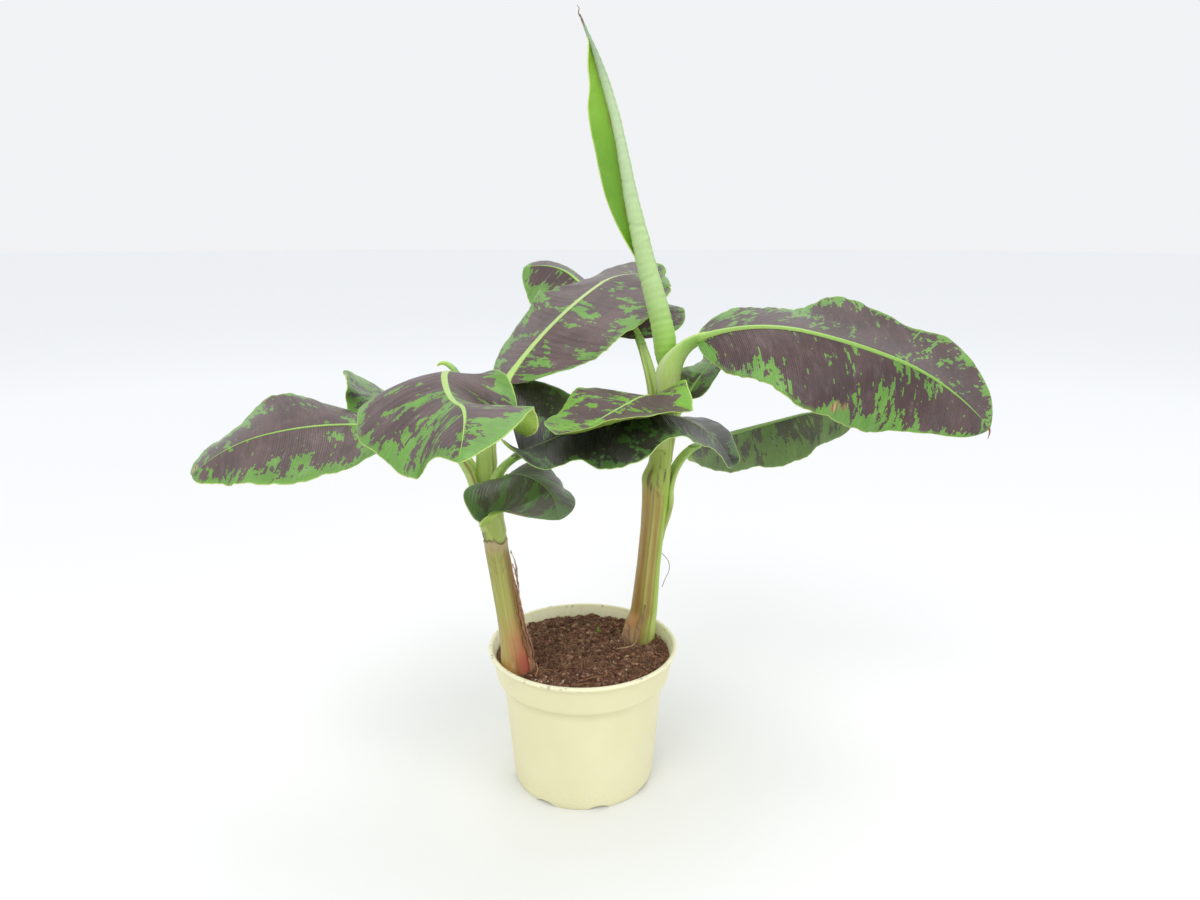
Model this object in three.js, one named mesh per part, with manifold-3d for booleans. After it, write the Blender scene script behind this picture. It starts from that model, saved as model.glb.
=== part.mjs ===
// Young banana plant in a nursery pot: two leaning pseudostems, eleven open leaves,
// one tall rolled leaf and one rolled leaf tip. Millimetres, +Z up, origin at the
// centre of the pot's underside, -Y is the front.
import * as THREE from "three";
import { mergeVertices } from "three/addons/utils/BufferGeometryUtils.js";
import Module from "manifold-3d";

const wasm = await Module();
wasm.setup();

// ---- driving sizes ---------------------------------------------------------------
const GAP = 0.35; // clearance kept between neighbouring solids
const POT_HEIGHT = 160;
const RIM_R = 105; // outer radius of the rim bead
const COLLAR_TOP_R = 101;
const COLLAR_LOW_R = 96;
const COLLAR_Z = 124.5; // lower edge of the collar
const BODY_TOP_R = 89; // just below the collar
const BODY_LOW_R = 79.5;
const WALL = 2.6;
const FLOOR = 6;
const FOOT_NOTCHES = 8;
const NOTCH_R = 18;
const NOTCH_HEIGHT = 5;
const SOIL_Z = 148;
const SEGMENTS = 64;
const BLADE_THICK = 0.0115; // part of the blade's length
const LOBE_REACH = 0.14; // how far a lobe reaches each way, part of the blade's length
const ROW_LENGTH = 15.6; // blade between two rows of points
const RIB_STEPS = 240; // steps of the walk along a rib

// Stem axis points with the half widths across (left-right) and along (front-back).
const STEM_LEFT = [
  [-67, -37.5, 137, 17, 15], [-70, -38, 151, 17.5, 15.5], [-71.5, -39, 170, 15.3, 14.5],
  [-75, -40, 193, 12.8, 13], [-78.5, -41, 217, 11.8, 12.3], [-81.5, -42, 240, 11.8, 12],
  [-86, -43.5, 275, 12, 12], [-91, -44.5, 312, 12.2, 12.2], [-94, -45, 338, 13, 13],
  [-97, -46, 352, 15, 13.5], [-101, -46, 364, 14, 12], [-103, -46, 372, 9, 8],
];
const STEM_RIGHT = [
  [63, 35.5, 137, 18.5, 16], [63.2, 35.5, 149, 19.5, 16.5], [64, 34, 158, 19, 16.5],
  [66, 31, 171, 17.5, 16], [69, 28, 185, 15.4, 15.2], [73, 19, 245, 13.3, 14.4],
  [76.5, 14, 290, 13.4, 14], [78.8, 11, 322, 14.6, 14], [79.5, 10, 350, 15.4, 13.5],
  [83.5, 9.5, 364, 12, 11.5], [85.5, 9, 400, 10.5, 10.5], [88, 9, 446, 10, 10],
  [88.5, 9, 454, 7, 7],
];

// One entry a leaf. foot: where the stalk leaves the stem. rise / turn: heading of the
// rib in degrees above the level and round from +X, at the foot, the end of the stalk,
// and at one, two and three thirds of the blade. left / right: half width, fold of that
// half at the four thirds, extra curl to the margin. shape: fullness of base and tip.
// sweep: how far the margin leans to the tip. stalk: radius at the foot and at the blade.
// lobes: the half, the place along the blade, and how many percent it is wider there.
const LEAVES = {
  left_outer: {
    foot: [-102, -58, 354], stalk: [9.5, 5.5], petiole: 90, length: 218,
    rise: [80, 13, 3, -14, -42], turn: [175, 187, 200, 190, 205],
    left: [72, -7, -25, -25, -18, -5], right: [80, -15, 15, 20, 5, -15],
    shape: [0.4, 0.55], sweep: 0.45, wave: [[3, 2.2, 0.1, 1], [3, 2.6, 0.5, -1]],
    lobes: [[-1, 0.25, 12], [-1, 0.88, -15], [1, 0.38, 8], [1, 0.63, 12], [1, 0.75, -15]],
  },
  left_front: {
    foot: [-98, -50, 366], stalk: [9, 6.5], petiole: 115, length: 235,
    rise: [110, 35, -15, 5, -50], turn: [-100, -112, -77, -67, -100],
    left: [74, 15, -32, -5, 12, -5], right: [84, -10, -7, -35, -20, -35],
    shape: [0.45, 0.8], sweep: 0.35, wave: [[3, 2.4, 0, 1], [4, 1.6, 0.3, -1]],
    lobes: [[-1, 0.5, 10], [1, 0.15, 12], [1, 0.5, -5]],
  },
  left_back: {
    foot: [-108, -34, 366], stalk: [6.5, 4.5], petiole: 104, length: 97,
    rise: [50, 10, 5, 30, 40], turn: [145, 143, 142, 173, 195],
    left: [55, -10, -5, 5, 15, 10], right: [59, 10, 0, -5, 10, -10],
    shape: [0.4, 0.25], sweep: 0.4, wave: [[2, 1.5, 0.2, 0]],
    lobes: [[-1, 0.5, -5], [1, 0.7, 5]],
  },
  left_low: {
    foot: [-88, -56, 338], stalk: [6.5, 4.5], petiole: 50, length: 88,
    rise: [70, 30, -5, -40, -80], turn: [-60, -55, -32, -35, -70],
    left: [56, 30, 0, -15, -30, -20], right: [68, -5, -40, -25, -15, 5],
    shape: [0.25, 0.3], sweep: -0.3, wave: [[3, 1.5, 0, 1]],
    lobes: [[1, 0.35, -8]],
  },
  left_top: {
    foot: [-93, -41, 378], stalk: [8.5, 6], petiole: 85, length: 270,
    rise: [98, 40, 38, 15, -10], turn: [65, 58, 35, 60, 5],
    left: [84, -24, -3, -9, 22, 0], right: [84, -5, -20, -10, -10, 0],
    shape: [0.4, 0.45], sweep: 0.45, wave: [[3, 2, 0, 1], [4, 1.8, 0.4, -1]],
    lobes: [[-1, 0.38, -8], [-1, 0.75, -15], [-1, 0.9, 20], [1, 0.15, 15], [1, 0.38, -8], [1, 0.75, -10]],
  },
  middle_low: {
    foot: [-88, -62, 352], stalk: [7.5, 6], petiole: 56, length: 235,
    rise: [85, 25, 23, -12, -65], turn: [-43, -3, -10, 5, -30],
    left: [104, 55, -10, -10, 15, -5], right: [95, 15, -25, -10, 0, 15],
    shape: [0.15, 0.4], sweep: 0.1, wave: [[4, 2.2, 0.2, 1]],
    lobes: [
      [-1, 0.64, 12], [-1, 0.96, -50], [1, 0.12, 35], [1, 0.26, -35], [1, 0.5, 20],
      [1, 0.63, -25], [1, 0.95, -30],
    ],
  },
  right_outer: {
    foot: [86, 1, 446], stalk: [13.5, 9], petiole: 70, length: 328,
    rise: [95, 22, -11, -24, -50], turn: [-5, -27, -13, 14, -15],
    left: [112, 17, 6, 25, 33, 0], right: [78, -45, -40, -80, -40, -20],
    shape: [0.5, 0.45], sweep: -0.35, wave: [[3, 1.5, 0.25, -1], [3, 2.4, 0.2, 1]],
    lobes: [[-1, 0.5, 8], [-1, 0.75, -18], [-1, 0.88, 12], [1, 0.25, -8], [1, 0.4, 8]],
  },
  right_low: {
    foot: [93, 13, 322], stalk: [7, 5], petiole: 76, length: 247,
    rise: [98, 5, 5, 8, -40], turn: [30, 49, 31, 24, 20],
    left: [58, -45, -55, -60, -55, -5], right: [56, -95, -80, -60, -65, -40],
    shape: [0.4, 0.5], sweep: 0.05, wave: [[3, 2.6, 0.1, 1]],
    lobes: [[1, 0.13, -6], [1, 0.5, 5]],
  },
  right_front: {
    foot: [82, -2, 412], stalk: [7.5, 5.5], petiole: 46, length: 139,
    rise: [75, 17, -10, -22, 5], turn: [-105, -114, -127, -145, -147],
    left: [65, 20, -10, 5, 10, 20], right: [64, 0, 10, 5, 10, -5],
    shape: [0.3, 0.35], sweep: -0.05, wave: [[2.5, 1.8, 0.3, 1], [2.5, 2.6, 0.1, -1]],
    lobes: [[-1, 0.12, -12], [-1, 0.38, 12], [1, 0.5, -6]],
  },
  back_top: {
    foot: [77, 14, 436], stalk: [7.5, 5], petiole: 66, length: 260,
    rise: [77, 45, 5, 25, -13], turn: [128, 113, 115, 127, 156],
    left: [72, 0, -40, -45, -50, 5], right: [88, 0, 0, -25, 25, -10],
    shape: [0.3, 0.45], sweep: 0.15, wave: [[3, 1.8, 0.2, 0]],
    lobes: [[1, 0.38, 5]],
  },
  right_back: {
    foot: [96, 18, 412], stalk: [7, 5.5], petiole: 25, length: 150,
    rise: [50, 51, 40, 5, -11], turn: [32, 29, 28, 53, 55],
    left: [48, 22, -12, 3, 4, -8], right: [42, -12, 15, -8, -5, 8],
    shape: [0.35, 0.4], sweep: 0.4, wave: [[2, 1.8, 0, 0]],
    lobes: [[-1, 0.12, 8]],
  },
};

// Rolled leaf: axis points and radius, and the loose flap on its left side with its
// widths from the low end to the high end.
const ROLLED = [
  [88.5, 8, 466, 7.5], [87, 8, 480, 11], [85.5, 7.5, 500, 12], [81, 7, 520, 11.5],
  [74, 6.5, 545, 11], [65.5, 6, 575, 10], [58, 5.5, 605, 9], [50.5, 5, 635, 7.5],
  [45.5, 4.5, 660, 6.5], [40.5, 4, 685, 5.5], [33.5, 3.5, 715, 5], [24, 2.5, 745, 4.5],
  [15.5, 2, 768, 3], [6.5, 1, 788, 1.5], [0, 0, 803, 0.7],
];
const FLAP_LOW = 580, FLAP_HIGH = 779, FLAP_THICK = 2.7;
const FLAP_WIDTHS = [0.5, 8.5, 14.5, 18.5, 20.5, 21.5, 22, 20, 12.5, 8, 0.5];
// Rolled leaf tip at the head of the left stem.
const ROLLED_TIP = [
  [-113, -66, 452, 3.6], [-116, -62, 464, 3.6], [-121, -58, 474, 3.1], [-128, -55, 480, 2.5],
  [-134, -54, 481.5, 1.8], [-139, -54, 479, 1.0],
];

// ---- small helpers ---------------------------------------------------------------
const rad = (d) => (d * Math.PI) / 180;
const mix = (a, b, t) => a + (b - a) * t;
const V = (x, y, z) => new THREE.Vector3(x, y, z);

function steps(knots, values, s) {
  let i = 0;
  while (i < knots.length - 2 && s > knots[i + 1]) i++;
  const t = Math.min(1, Math.max(0, (s - knots[i]) / (knots[i + 1] - knots[i])));
  return mix(values[i], values[i + 1], t);
}

// Smooth curve through evenly spaced values.
function smooth(values, t) {
  const n = values.length - 1;
  const at = (i) =>
    i < 0 ? 2 * values[0] - values[1] : i > n ? 2 * values[n] - values[n - 1] : values[i];
  const x = Math.min(Math.max(t, 0) * n, n - 1e-9);
  const i = Math.floor(x), f = x - i;
  const [a, b, c, d] = [at(i - 1), at(i), at(i + 1), at(i + 2)];
  return b + 0.5 * f * (c - a + f * (2 * a - 5 * b + 4 * c - d + f * (3 * (b - c) + d - a)));
}

// A closed geometry as a solid, its faces turned out.
function solidOf(geometry) {
  geometry.deleteAttribute("normal");
  geometry.deleteAttribute("uv");
  const merged = mergeVertices(geometry, 1e-4), ids = merged.index.array, tris = [];
  for (let i = 0; i < ids.length; i += 3) {
    const [a, b, c] = [ids[i], ids[i + 1], ids[i + 2]];
    if (a !== b && b !== c && c !== a) tris.push([a, b, c]);
  }
  const make = (list) =>
    new wasm.Manifold(new wasm.Mesh({
      numProp: 3,
      vertProperties: merged.attributes.position.array,
      triVerts: new Uint32Array(list.flat()),
    }));
  const made = make(tris);
  return made.volume() >= 0 ? made : make(tris.map(([a, b, c]) => [a, c, b]));
}

function skin(points, triangles) {
  const geometry = new THREE.BufferGeometry().setFromPoints(points);
  geometry.setIndex(triangles.flat());
  return solidOf(geometry);
}

// Closed skin over a run of rings, each with the same number of points.
function loft(rings) {
  const n = rings[0].length, points = rings.flat(), tris = [];
  for (let i = 0; i + 1 < rings.length; i++)
    for (let j = 0; j < n; j++) {
      const a = i * n + j, b = i * n + ((j + 1) % n), c = a + n, d = b + n;
      tris.push([a, b, d], [a, d, c]);
    }
  for (const [ring, turned] of [[0, true], [rings.length - 1, false]]) {
    const mid = rings[ring].reduce((s, p) => s.add(p), V(0, 0, 0)).divideScalar(n);
    const m = points.push(mid) - 1;
    for (let j = 0; j < n; j++) {
      const a = ring * n + j, b = ring * n + ((j + 1) % n);
      tris.push(turned ? [m, b, a] : [m, a, b]);
    }
  }
  return skin(points, tris);
}

// Closed skin round a sheet of rows, half the thickness to each side, with a keel
// under its middle column.
function sheet(rows, thick, keel) {
  const n = rows.length, m = rows[0].length, top = [], low = [];
  for (let i = 0; i < n; i++)
    for (let j = 0; j < m; j++) {
      const along = rows[Math.min(i + 1, n - 1)][j].clone().sub(rows[Math.max(i - 1, 0)][j]);
      const over = rows[i][Math.min(j + 1, m - 1)].clone().sub(rows[i][Math.max(j - 1, 0)]);
      const up = over.cross(along).normalize();
      const t = thick(i, j) / 2;
      top.push(rows[i][j].clone().addScaledVector(up, t));
      low.push(rows[i][j].clone().addScaledVector(up, -t - (keel ? keel(i, j) : 0)));
    }
  const tris = [], at = (i, j) => i * m + j, o = n * m;
  for (let i = 0; i + 1 < n; i++)
    for (let j = 0; j + 1 < m; j++) {
      const a = at(i, j), b = at(i, j + 1), c = at(i + 1, j), d = at(i + 1, j + 1);
      tris.push([a, b, d], [a, d, c], [a + o, d + o, b + o], [a + o, c + o, d + o]);
    }
  const edge = [];
  for (let j = 0; j < m - 1; j++) edge.push(at(0, j));
  for (let i = 0; i < n - 1; i++) edge.push(at(i, m - 1));
  for (let j = m - 1; j > 0; j--) edge.push(at(n - 1, j));
  for (let i = n - 1; i > 0; i--) edge.push(at(i, 0));
  edge.forEach((a, k) => {
    const b = edge[(k + 1) % edge.length];
    tris.push([a, a + o, b + o], [a, b + o, b]);
  });
  return skin([...top, ...low], tris);
}

// Round or oval rod along stations [x, y, z, half width, half depth].
function rod(stations, sides, extra = 0) {
  const rings = stations.map((s, i) => {
    const p = V(s[0], s[1], s[2]);
    const q = stations[Math.min(i + 1, stations.length - 1)];
    const o = stations[Math.max(i - 1, 0)];
    const t = V(q[0] - o[0], q[1] - o[1], q[2] - o[2]).normalize();
    const e1 = V(1, 0, 0).addScaledVector(t, -t.x).normalize();
    const e2 = t.clone().cross(e1);
    return Array.from({ length: sides }, (_, k) => {
      const a = (2 * Math.PI * k) / sides;
      return p.clone()
        .addScaledVector(e1, (s[3] + extra) * Math.cos(a))
        .addScaledVector(e2, ((s[4] ?? s[3]) + extra) * Math.sin(a));
    });
  });
  if (extra) {
    const t = rings[1][0].clone().sub(rings[0][0]).normalize().multiplyScalar(extra);
    rings[0].forEach((p) => p.sub(t));
    const e = rings.at(-1)[0].clone().sub(rings.at(-2)[0]).normalize().multiplyScalar(extra);
    rings.at(-1).forEach((p) => p.add(e));
  }
  return loft(rings);
}

// Rib of a leaf: a walk along its headings.
function ribOf(leaf) {
  const P = leaf.petiole, L = leaf.length;
  const knots = [0, P, P + L / 3, P + (2 * L) / 3, P + L];
  const heading = (s) => {
    const e = rad(steps(knots, leaf.rise, s)), a = rad(steps(knots, leaf.turn, s));
    return [V(Math.cos(e) * Math.cos(a), Math.cos(e) * Math.sin(a), Math.sin(e)), a];
  };
  const ds = (P + L) / RIB_STEPS, walk = [V(...leaf.foot)];
  for (let i = 0; i < RIB_STEPS; i++)
    walk.push(walk[i].clone().addScaledVector(heading((i + 0.5) * ds)[0], ds));
  return (s) => {
    const x = Math.min(s / ds, RIB_STEPS - 1e-9), i = Math.floor(x);
    const [ahead, a] = heading(s);
    const right = V(Math.sin(a), -Math.cos(a), 0);
    return {
      at: walk[i].clone().lerp(walk[i + 1], x - i), ahead, right,
      up: right.clone().cross(ahead),
    };
  };
}

// Stalk: a rod with a flat, slightly hollow upper side.
function stalkOf(leaf, extra = 0) {
  const rib = ribOf(leaf), n = 8, sides = 12;
  const rings = Array.from({ length: n + 1 }, (_, i) => {
    const s = (leaf.petiole * i) / n + (i === 0 ? -extra : i === n ? extra : 0);
    const f = rib(Math.max(s, 0)), r = mix(leaf.stalk[0], leaf.stalk[1], i / n) + extra;
    return Array.from({ length: sides }, (_, k) => {
      const a = (2 * Math.PI * k) / sides;
      const lift = Math.sin(a) > 0.2 ? Math.sin(a) * 0.45 : Math.sin(a) * 0.95;
      return f.at.clone()
        .addScaledVector(f.ahead, i === 0 ? -extra : i === n ? extra : 0)
        .addScaledVector(f.right, r * Math.cos(a))
        .addScaledVector(f.up, r * lift);
    });
  });
  return loft(rings);
}

// How much wider one half is at u, as a part of its width.
function lobeAt(leaf, side, u) {
  return leaf.lobes
    .filter(([on]) => on === side)
    .reduce((sum, [, place, percent]) => {
      const off = Math.min(1, Math.abs(u - place) / LOBE_REACH);
      return sum + (percent / 100) * (0.5 + 0.5 * Math.cos(Math.PI * off));
    }, 0);
}

const ACROSS = [0, 0.07, 0.3, 0.55, 0.8, 1]; // columns of a half blade, rib to margin

function bladeOf(leaf) {
  const rib = ribOf(leaf), n = Math.max(12, Math.round(leaf.length / ROW_LENGTH));
  const [pa, pb] = leaf.shape, m = pa / (pa + pb), peak = m ** pa * (1 - m) ** pb;
  const rows = [];
  for (let i = 0; i <= n; i++) {
    const t = i / n, even = mix(t, 0.5 - 0.5 * Math.cos(Math.PI * t), 0.6);
    const u = mix(0.004, 0.997, even);
    const fullness = Math.max((u ** pa * (1 - u) ** pb) / peak, 0.05);
    const f = rib(leaf.petiole + u * leaf.length);
    const halves = [["left", -1], ["right", 1]].map(([key, side]) => {
      const [w, a0, a1, a2, a3, curl] = leaf[key];
      const wide = w * fullness * (1 + lobeAt(leaf, side, u));
      const fold = smooth([a0, a1, a2, a3], u), out = [];
      const p = f.at.clone();
      for (let j = 1; j < ACROSS.length; j++) {
        const parts = 3, v0 = ACROSS[j - 1], dv = (ACROSS[j] - v0) / parts;
        for (let k = 0; k < parts; k++) {
          const v = v0 + (k + 0.5) * dv, g = rad(fold + curl * v), d = wide * dv;
          p.addScaledVector(f.right, side * Math.cos(g) * d)
            .addScaledVector(f.up, Math.sin(g) * d)
            .addScaledVector(f.ahead, leaf.sweep * v * d);
        }
        const q = p.clone(), v = ACROSS[j];
        for (const [size, count, phase, on] of leaf.wave)
          if (on === 0 || on === side)
            q.addScaledVector(f.up,
              size * v * v * Math.sqrt(fullness) * Math.sin(2 * Math.PI * (count * u + phase)));
        out.push(q);
      }
      return out;
    });
    rows.push([...halves[0].reverse(), f.at.clone(), ...halves[1]]);
  }
  const mid = ACROSS.length - 1, thick = BLADE_THICK * leaf.length;
  return sheet(rows, () => thick,
    (i, j) => (j === mid ? mix(leaf.stalk[1] * 0.9, 0, i / n) : 0));
}

function largest(body) {
  const pieces = body.decompose();
  return pieces.reduce((a, b) => (a.volume() > b.volume() ? a : b)).simplify(0.03);
}

// ---- pot -------------------------------------------------------------------------
function potBody() {
  const profile = [
    [0, 0], [BODY_LOW_R - 4, 0], [BODY_LOW_R - 1, 5], [BODY_LOW_R, 12], [BODY_TOP_R, COLLAR_Z],
    [COLLAR_LOW_R - 1, COLLAR_Z + 0.6], [COLLAR_LOW_R, COLLAR_Z + 2],
    [COLLAR_TOP_R, POT_HEIGHT - 6], [RIM_R - 0.8, POT_HEIGHT - 5], [RIM_R, POT_HEIGHT - 3],
    [RIM_R - 0.6, POT_HEIGHT - 0.8], [RIM_R - 2.2, POT_HEIGHT], [RIM_R - 5, POT_HEIGHT],
    [COLLAR_TOP_R - WALL, POT_HEIGHT - 3], [COLLAR_LOW_R - WALL, COLLAR_Z + 3],
    [BODY_TOP_R - WALL, COLLAR_Z - 1], [BODY_LOW_R - WALL - 1, FLOOR], [0, FLOOR],
  ].map(([r, z]) => new THREE.Vector2(r, z));
  const turned = new THREE.LatheGeometry(profile, SEGMENTS).rotateX(Math.PI / 2);
  let pot = solidOf(turned);
  for (let k = 0; k < FOOT_NOTCHES; k++) {
    const arch = new THREE.CylinderGeometry(NOTCH_R, NOTCH_R, 20, 32)
      .rotateZ(Math.PI / 2)
      .translate(BODY_LOW_R + 3, 0, NOTCH_HEIGHT - NOTCH_R)
      .rotateZ((2 * Math.PI * (k + 0.3)) / FOOT_NOTCHES);
    pot = pot.subtract(solidOf(arch));
  }
  return pot;
}

function soilBody() {
  const inner = (z) =>
    (z < COLLAR_Z - 1
      ? mix(BODY_LOW_R - WALL - 1, BODY_TOP_R - WALL, (z - FLOOR) / (COLLAR_Z - 1 - FLOOR))
      : z < COLLAR_Z + 3
        ? mix(BODY_TOP_R - WALL, COLLAR_LOW_R - WALL, (z - COLLAR_Z + 1) / 4)
        : mix(COLLAR_LOW_R - WALL, COLLAR_TOP_R - WALL,
            (z - COLLAR_Z - 3) / (POT_HEIGHT - 6 - COLLAR_Z))) - 0.7;
  const height = (x, y) =>
    SOIL_Z - 1.5 + 3 * Math.exp(-((x - 5) ** 2 + (y + 10) ** 2) / 5200) +
    1.3 * Math.sin(0.11 * x + 1.7 * Math.sin(0.07 * y)) * Math.cos(0.13 * y + 0.6) +
    0.9 * Math.sin(0.31 * x + 0.23 * y + 1.1) * Math.sin(0.27 * y - 0.19 * x);
  const rings = [];
  for (const z of [FLOOR + GAP, COLLAR_Z - 1, COLLAR_Z + 3])
    rings.push([inner(z), () => z]);
  for (const f of [1, 0.93, 0.8, 0.66, 0.5, 0.34, 0.17, 0.05])
    rings.push([f * inner(SOIL_Z - 4), (x, y) => height(x, y) - (f === 1 ? 2 : 0)]);
  return loft(rings.map(([r, z]) =>
    Array.from({ length: SEGMENTS }, (_, k) => {
      const a = (2 * Math.PI * k) / SEGMENTS, x = r * Math.cos(a), y = r * Math.sin(a);
      return V(x, y, z(x, y));
    })));
}

// ---- plant -----------------------------------------------------------------------
const bodies = new Map();
const stems = [["pseudostem_left", STEM_LEFT], ["pseudostem_right", STEM_RIGHT]];
const kept = []; // grown copies of what is already placed, to cut the rest clear

for (const [name, stations] of stems) {
  bodies.set(name, rod(stations, 20));
  kept.push(rod(stations, 20, GAP));
}
bodies.set("pot", potBody());
bodies.set("soil", kept.reduce((s, k) => s.subtract(k), soilBody()));

const names = Object.keys(LEAVES);
for (const name of names) {
  const body = kept.reduce((s, k) => s.subtract(k), stalkOf(LEAVES[name]));
  bodies.set("stalk_" + name, largest(body));
  kept.push(stalkOf(LEAVES[name], GAP));
}

function rolledLeaf(extra = 0) {
  const roll = rod(ROLLED, 16, extra);
  const n = 20, rows = [], heights = ROLLED.map((s) => s[2]);
  for (let i = 0; i <= n; i++) {
    const z = mix(FLAP_LOW, FLAP_HIGH, i / n);
    const [x, y, r] = [0, 1, 3].map((q) => steps(heights, ROLLED.map((s) => s[q]), z));
    const wide = smooth(FLAP_WIDTHS, i / n) + 0.45 * r;
    rows.push([0, 0.25, 0.5, 0.75, 1].map((v) =>
      V(x - 0.55 * r - wide * v, y + 0.35 * r - 6 * v * v, z)));
  }
  return roll.add(sheet(rows, () => FLAP_THICK + 2 * extra));
}
const clear = (body) => largest(kept.reduce((s, k) => s.subtract(k), body));
bodies.set("rolled_leaf", clear(rolledLeaf()));
kept.push(rolledLeaf(GAP));
bodies.set("rolled_tip", clear(rod(ROLLED_TIP, 10)));
kept.push(rod(ROLLED_TIP, 10, GAP));

// Dry sheath that has peeled from the right side of the left stem.
{
  const n = 14, rows = [];
  for (let i = 0; i <= n; i++) {
    const u = i / n, z = mix(158, 306, u);
    const stem = [0, 1, 3].map((q) =>
      steps(STEM_LEFT.map((s) => s[2]), STEM_LEFT.map((s) => s[q]), z));
    const off = stem[2] + 1.6 + 7 * Math.sin(Math.PI * Math.min(1, u * 1.15)) ** 2 * u;
    const wide = mix(11, 3.5, u) + 1.5 * Math.sin(17 * u);
    rows.push([-1, -0.33, 0.33, 1].map((v) => {
      const a = rad(-28 + (v * wide * 57.3) / 18);
      return V(stem[0] + off * Math.cos(a), stem[1] + off * Math.sin(a), z + 3 * v);
    }));
  }
  bodies.set("dry_sheath", clear(sheet(rows, () => 1.6)));
}

for (const name of names) bodies.set("leaf_" + name, clear(bladeOf(LEAVES[name])));

// ---- colours and output ----------------------------------------------------------
const COLOURS = {
  pot: 0xe2deb4, soil: 0x4a2f24, pseudostem_left: 0xa9b05c, pseudostem_right: 0xa39a58,
  rolled_leaf: 0xb4d79a, rolled_tip: 0x9cc35e, dry_sheath: 0x9a7256,
};
const root = new THREE.Group();
for (const [name, body] of bodies) {
  const m = body.getMesh(), k = m.numProp;
  const at = new Float32Array(m.numVert * 3);
  for (let i = 0; i < m.numVert; i++) at.set(m.vertProperties.subarray(i * k, i * k + 3), i * 3);
  const g = new THREE.BufferGeometry();
  g.setAttribute("position", new THREE.BufferAttribute(at, 3));
  g.setIndex(new THREE.BufferAttribute(m.triVerts, 1));
  g.computeVertexNormals();
  const colour = COLOURS[name] ?? (name.startsWith("stalk") ? 0x9fca66 : 0x5d7d50);
  const mesh = new THREE.Mesh(g, new THREE.MeshStandardMaterial({ color: colour, roughness: 0.6 }));
  mesh.name = name;
  root.add(mesh);
}

export default root;
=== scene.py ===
"""The looks of a young banana plant in a nursery pot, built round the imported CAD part.

Sizes are in millimetres until a mesh is made, then in metres.
"""
import math

import bmesh
import bpy
import numpy as np
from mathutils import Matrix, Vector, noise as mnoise


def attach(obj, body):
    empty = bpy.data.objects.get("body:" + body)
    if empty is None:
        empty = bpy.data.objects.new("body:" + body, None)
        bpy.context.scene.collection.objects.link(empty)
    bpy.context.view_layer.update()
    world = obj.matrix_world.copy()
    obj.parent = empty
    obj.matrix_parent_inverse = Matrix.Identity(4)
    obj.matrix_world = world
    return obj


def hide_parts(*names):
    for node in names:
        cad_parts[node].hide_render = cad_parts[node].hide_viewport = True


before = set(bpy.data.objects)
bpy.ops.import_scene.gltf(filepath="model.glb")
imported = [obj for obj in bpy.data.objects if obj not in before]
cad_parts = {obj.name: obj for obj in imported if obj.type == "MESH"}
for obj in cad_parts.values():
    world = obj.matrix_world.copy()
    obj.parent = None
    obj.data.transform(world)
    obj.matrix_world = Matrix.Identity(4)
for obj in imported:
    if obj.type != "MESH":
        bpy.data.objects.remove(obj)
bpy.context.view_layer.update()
MM = 0.001
ROOT = "root"

# ---- sizes, the same as the part's ------------------------------------------------
POT_HEIGHT, RIM_R = 160, 105
COLLAR_TOP_R, COLLAR_LOW_R, COLLAR_Z = 101, 96, 124.5
BODY_TOP_R, BODY_LOW_R, WALL, FLOOR = 89, 79.5, 2.6, 6
FOOT_NOTCHES, NOTCH_R, NOTCH_HEIGHT = 8, 18, 5
SOIL_Z = 148
LOBE_REACH = 0.14

STEM_LEFT = np.array([
    [-67, -37.5, 137, 17, 15], [-70, -38, 151, 17.5, 15.5], [-71.5, -39, 170, 15.3, 14.5],
    [-75, -40, 193, 12.8, 13], [-78.5, -41, 217, 11.8, 12.3], [-81.5, -42, 240, 11.8, 12],
    [-86, -43.5, 275, 12, 12], [-91, -44.5, 312, 12.2, 12.2], [-94, -45, 338, 13, 13],
    [-97, -46, 352, 15, 13.5], [-101, -46, 364, 14, 12], [-103, -46, 372, 9, 8]], float)
STEM_RIGHT = np.array([
    [63, 35.5, 137, 18.5, 16], [63.2, 35.5, 149, 19.5, 16.5], [64, 34, 158, 19, 16.5],
    [66, 31, 171, 17.5, 16], [69, 28, 185, 15.4, 15.2], [73, 19, 245, 13.3, 14.4],
    [76.5, 14, 290, 13.4, 14], [78.8, 11, 322, 14.6, 14], [79.5, 10, 350, 15.4, 13.5],
    [83.5, 9.5, 364, 12, 11.5], [85.5, 9, 400, 10.5, 10.5], [88, 9, 446, 10, 10],
    [88.5, 9, 454, 7, 7]], float)

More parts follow.
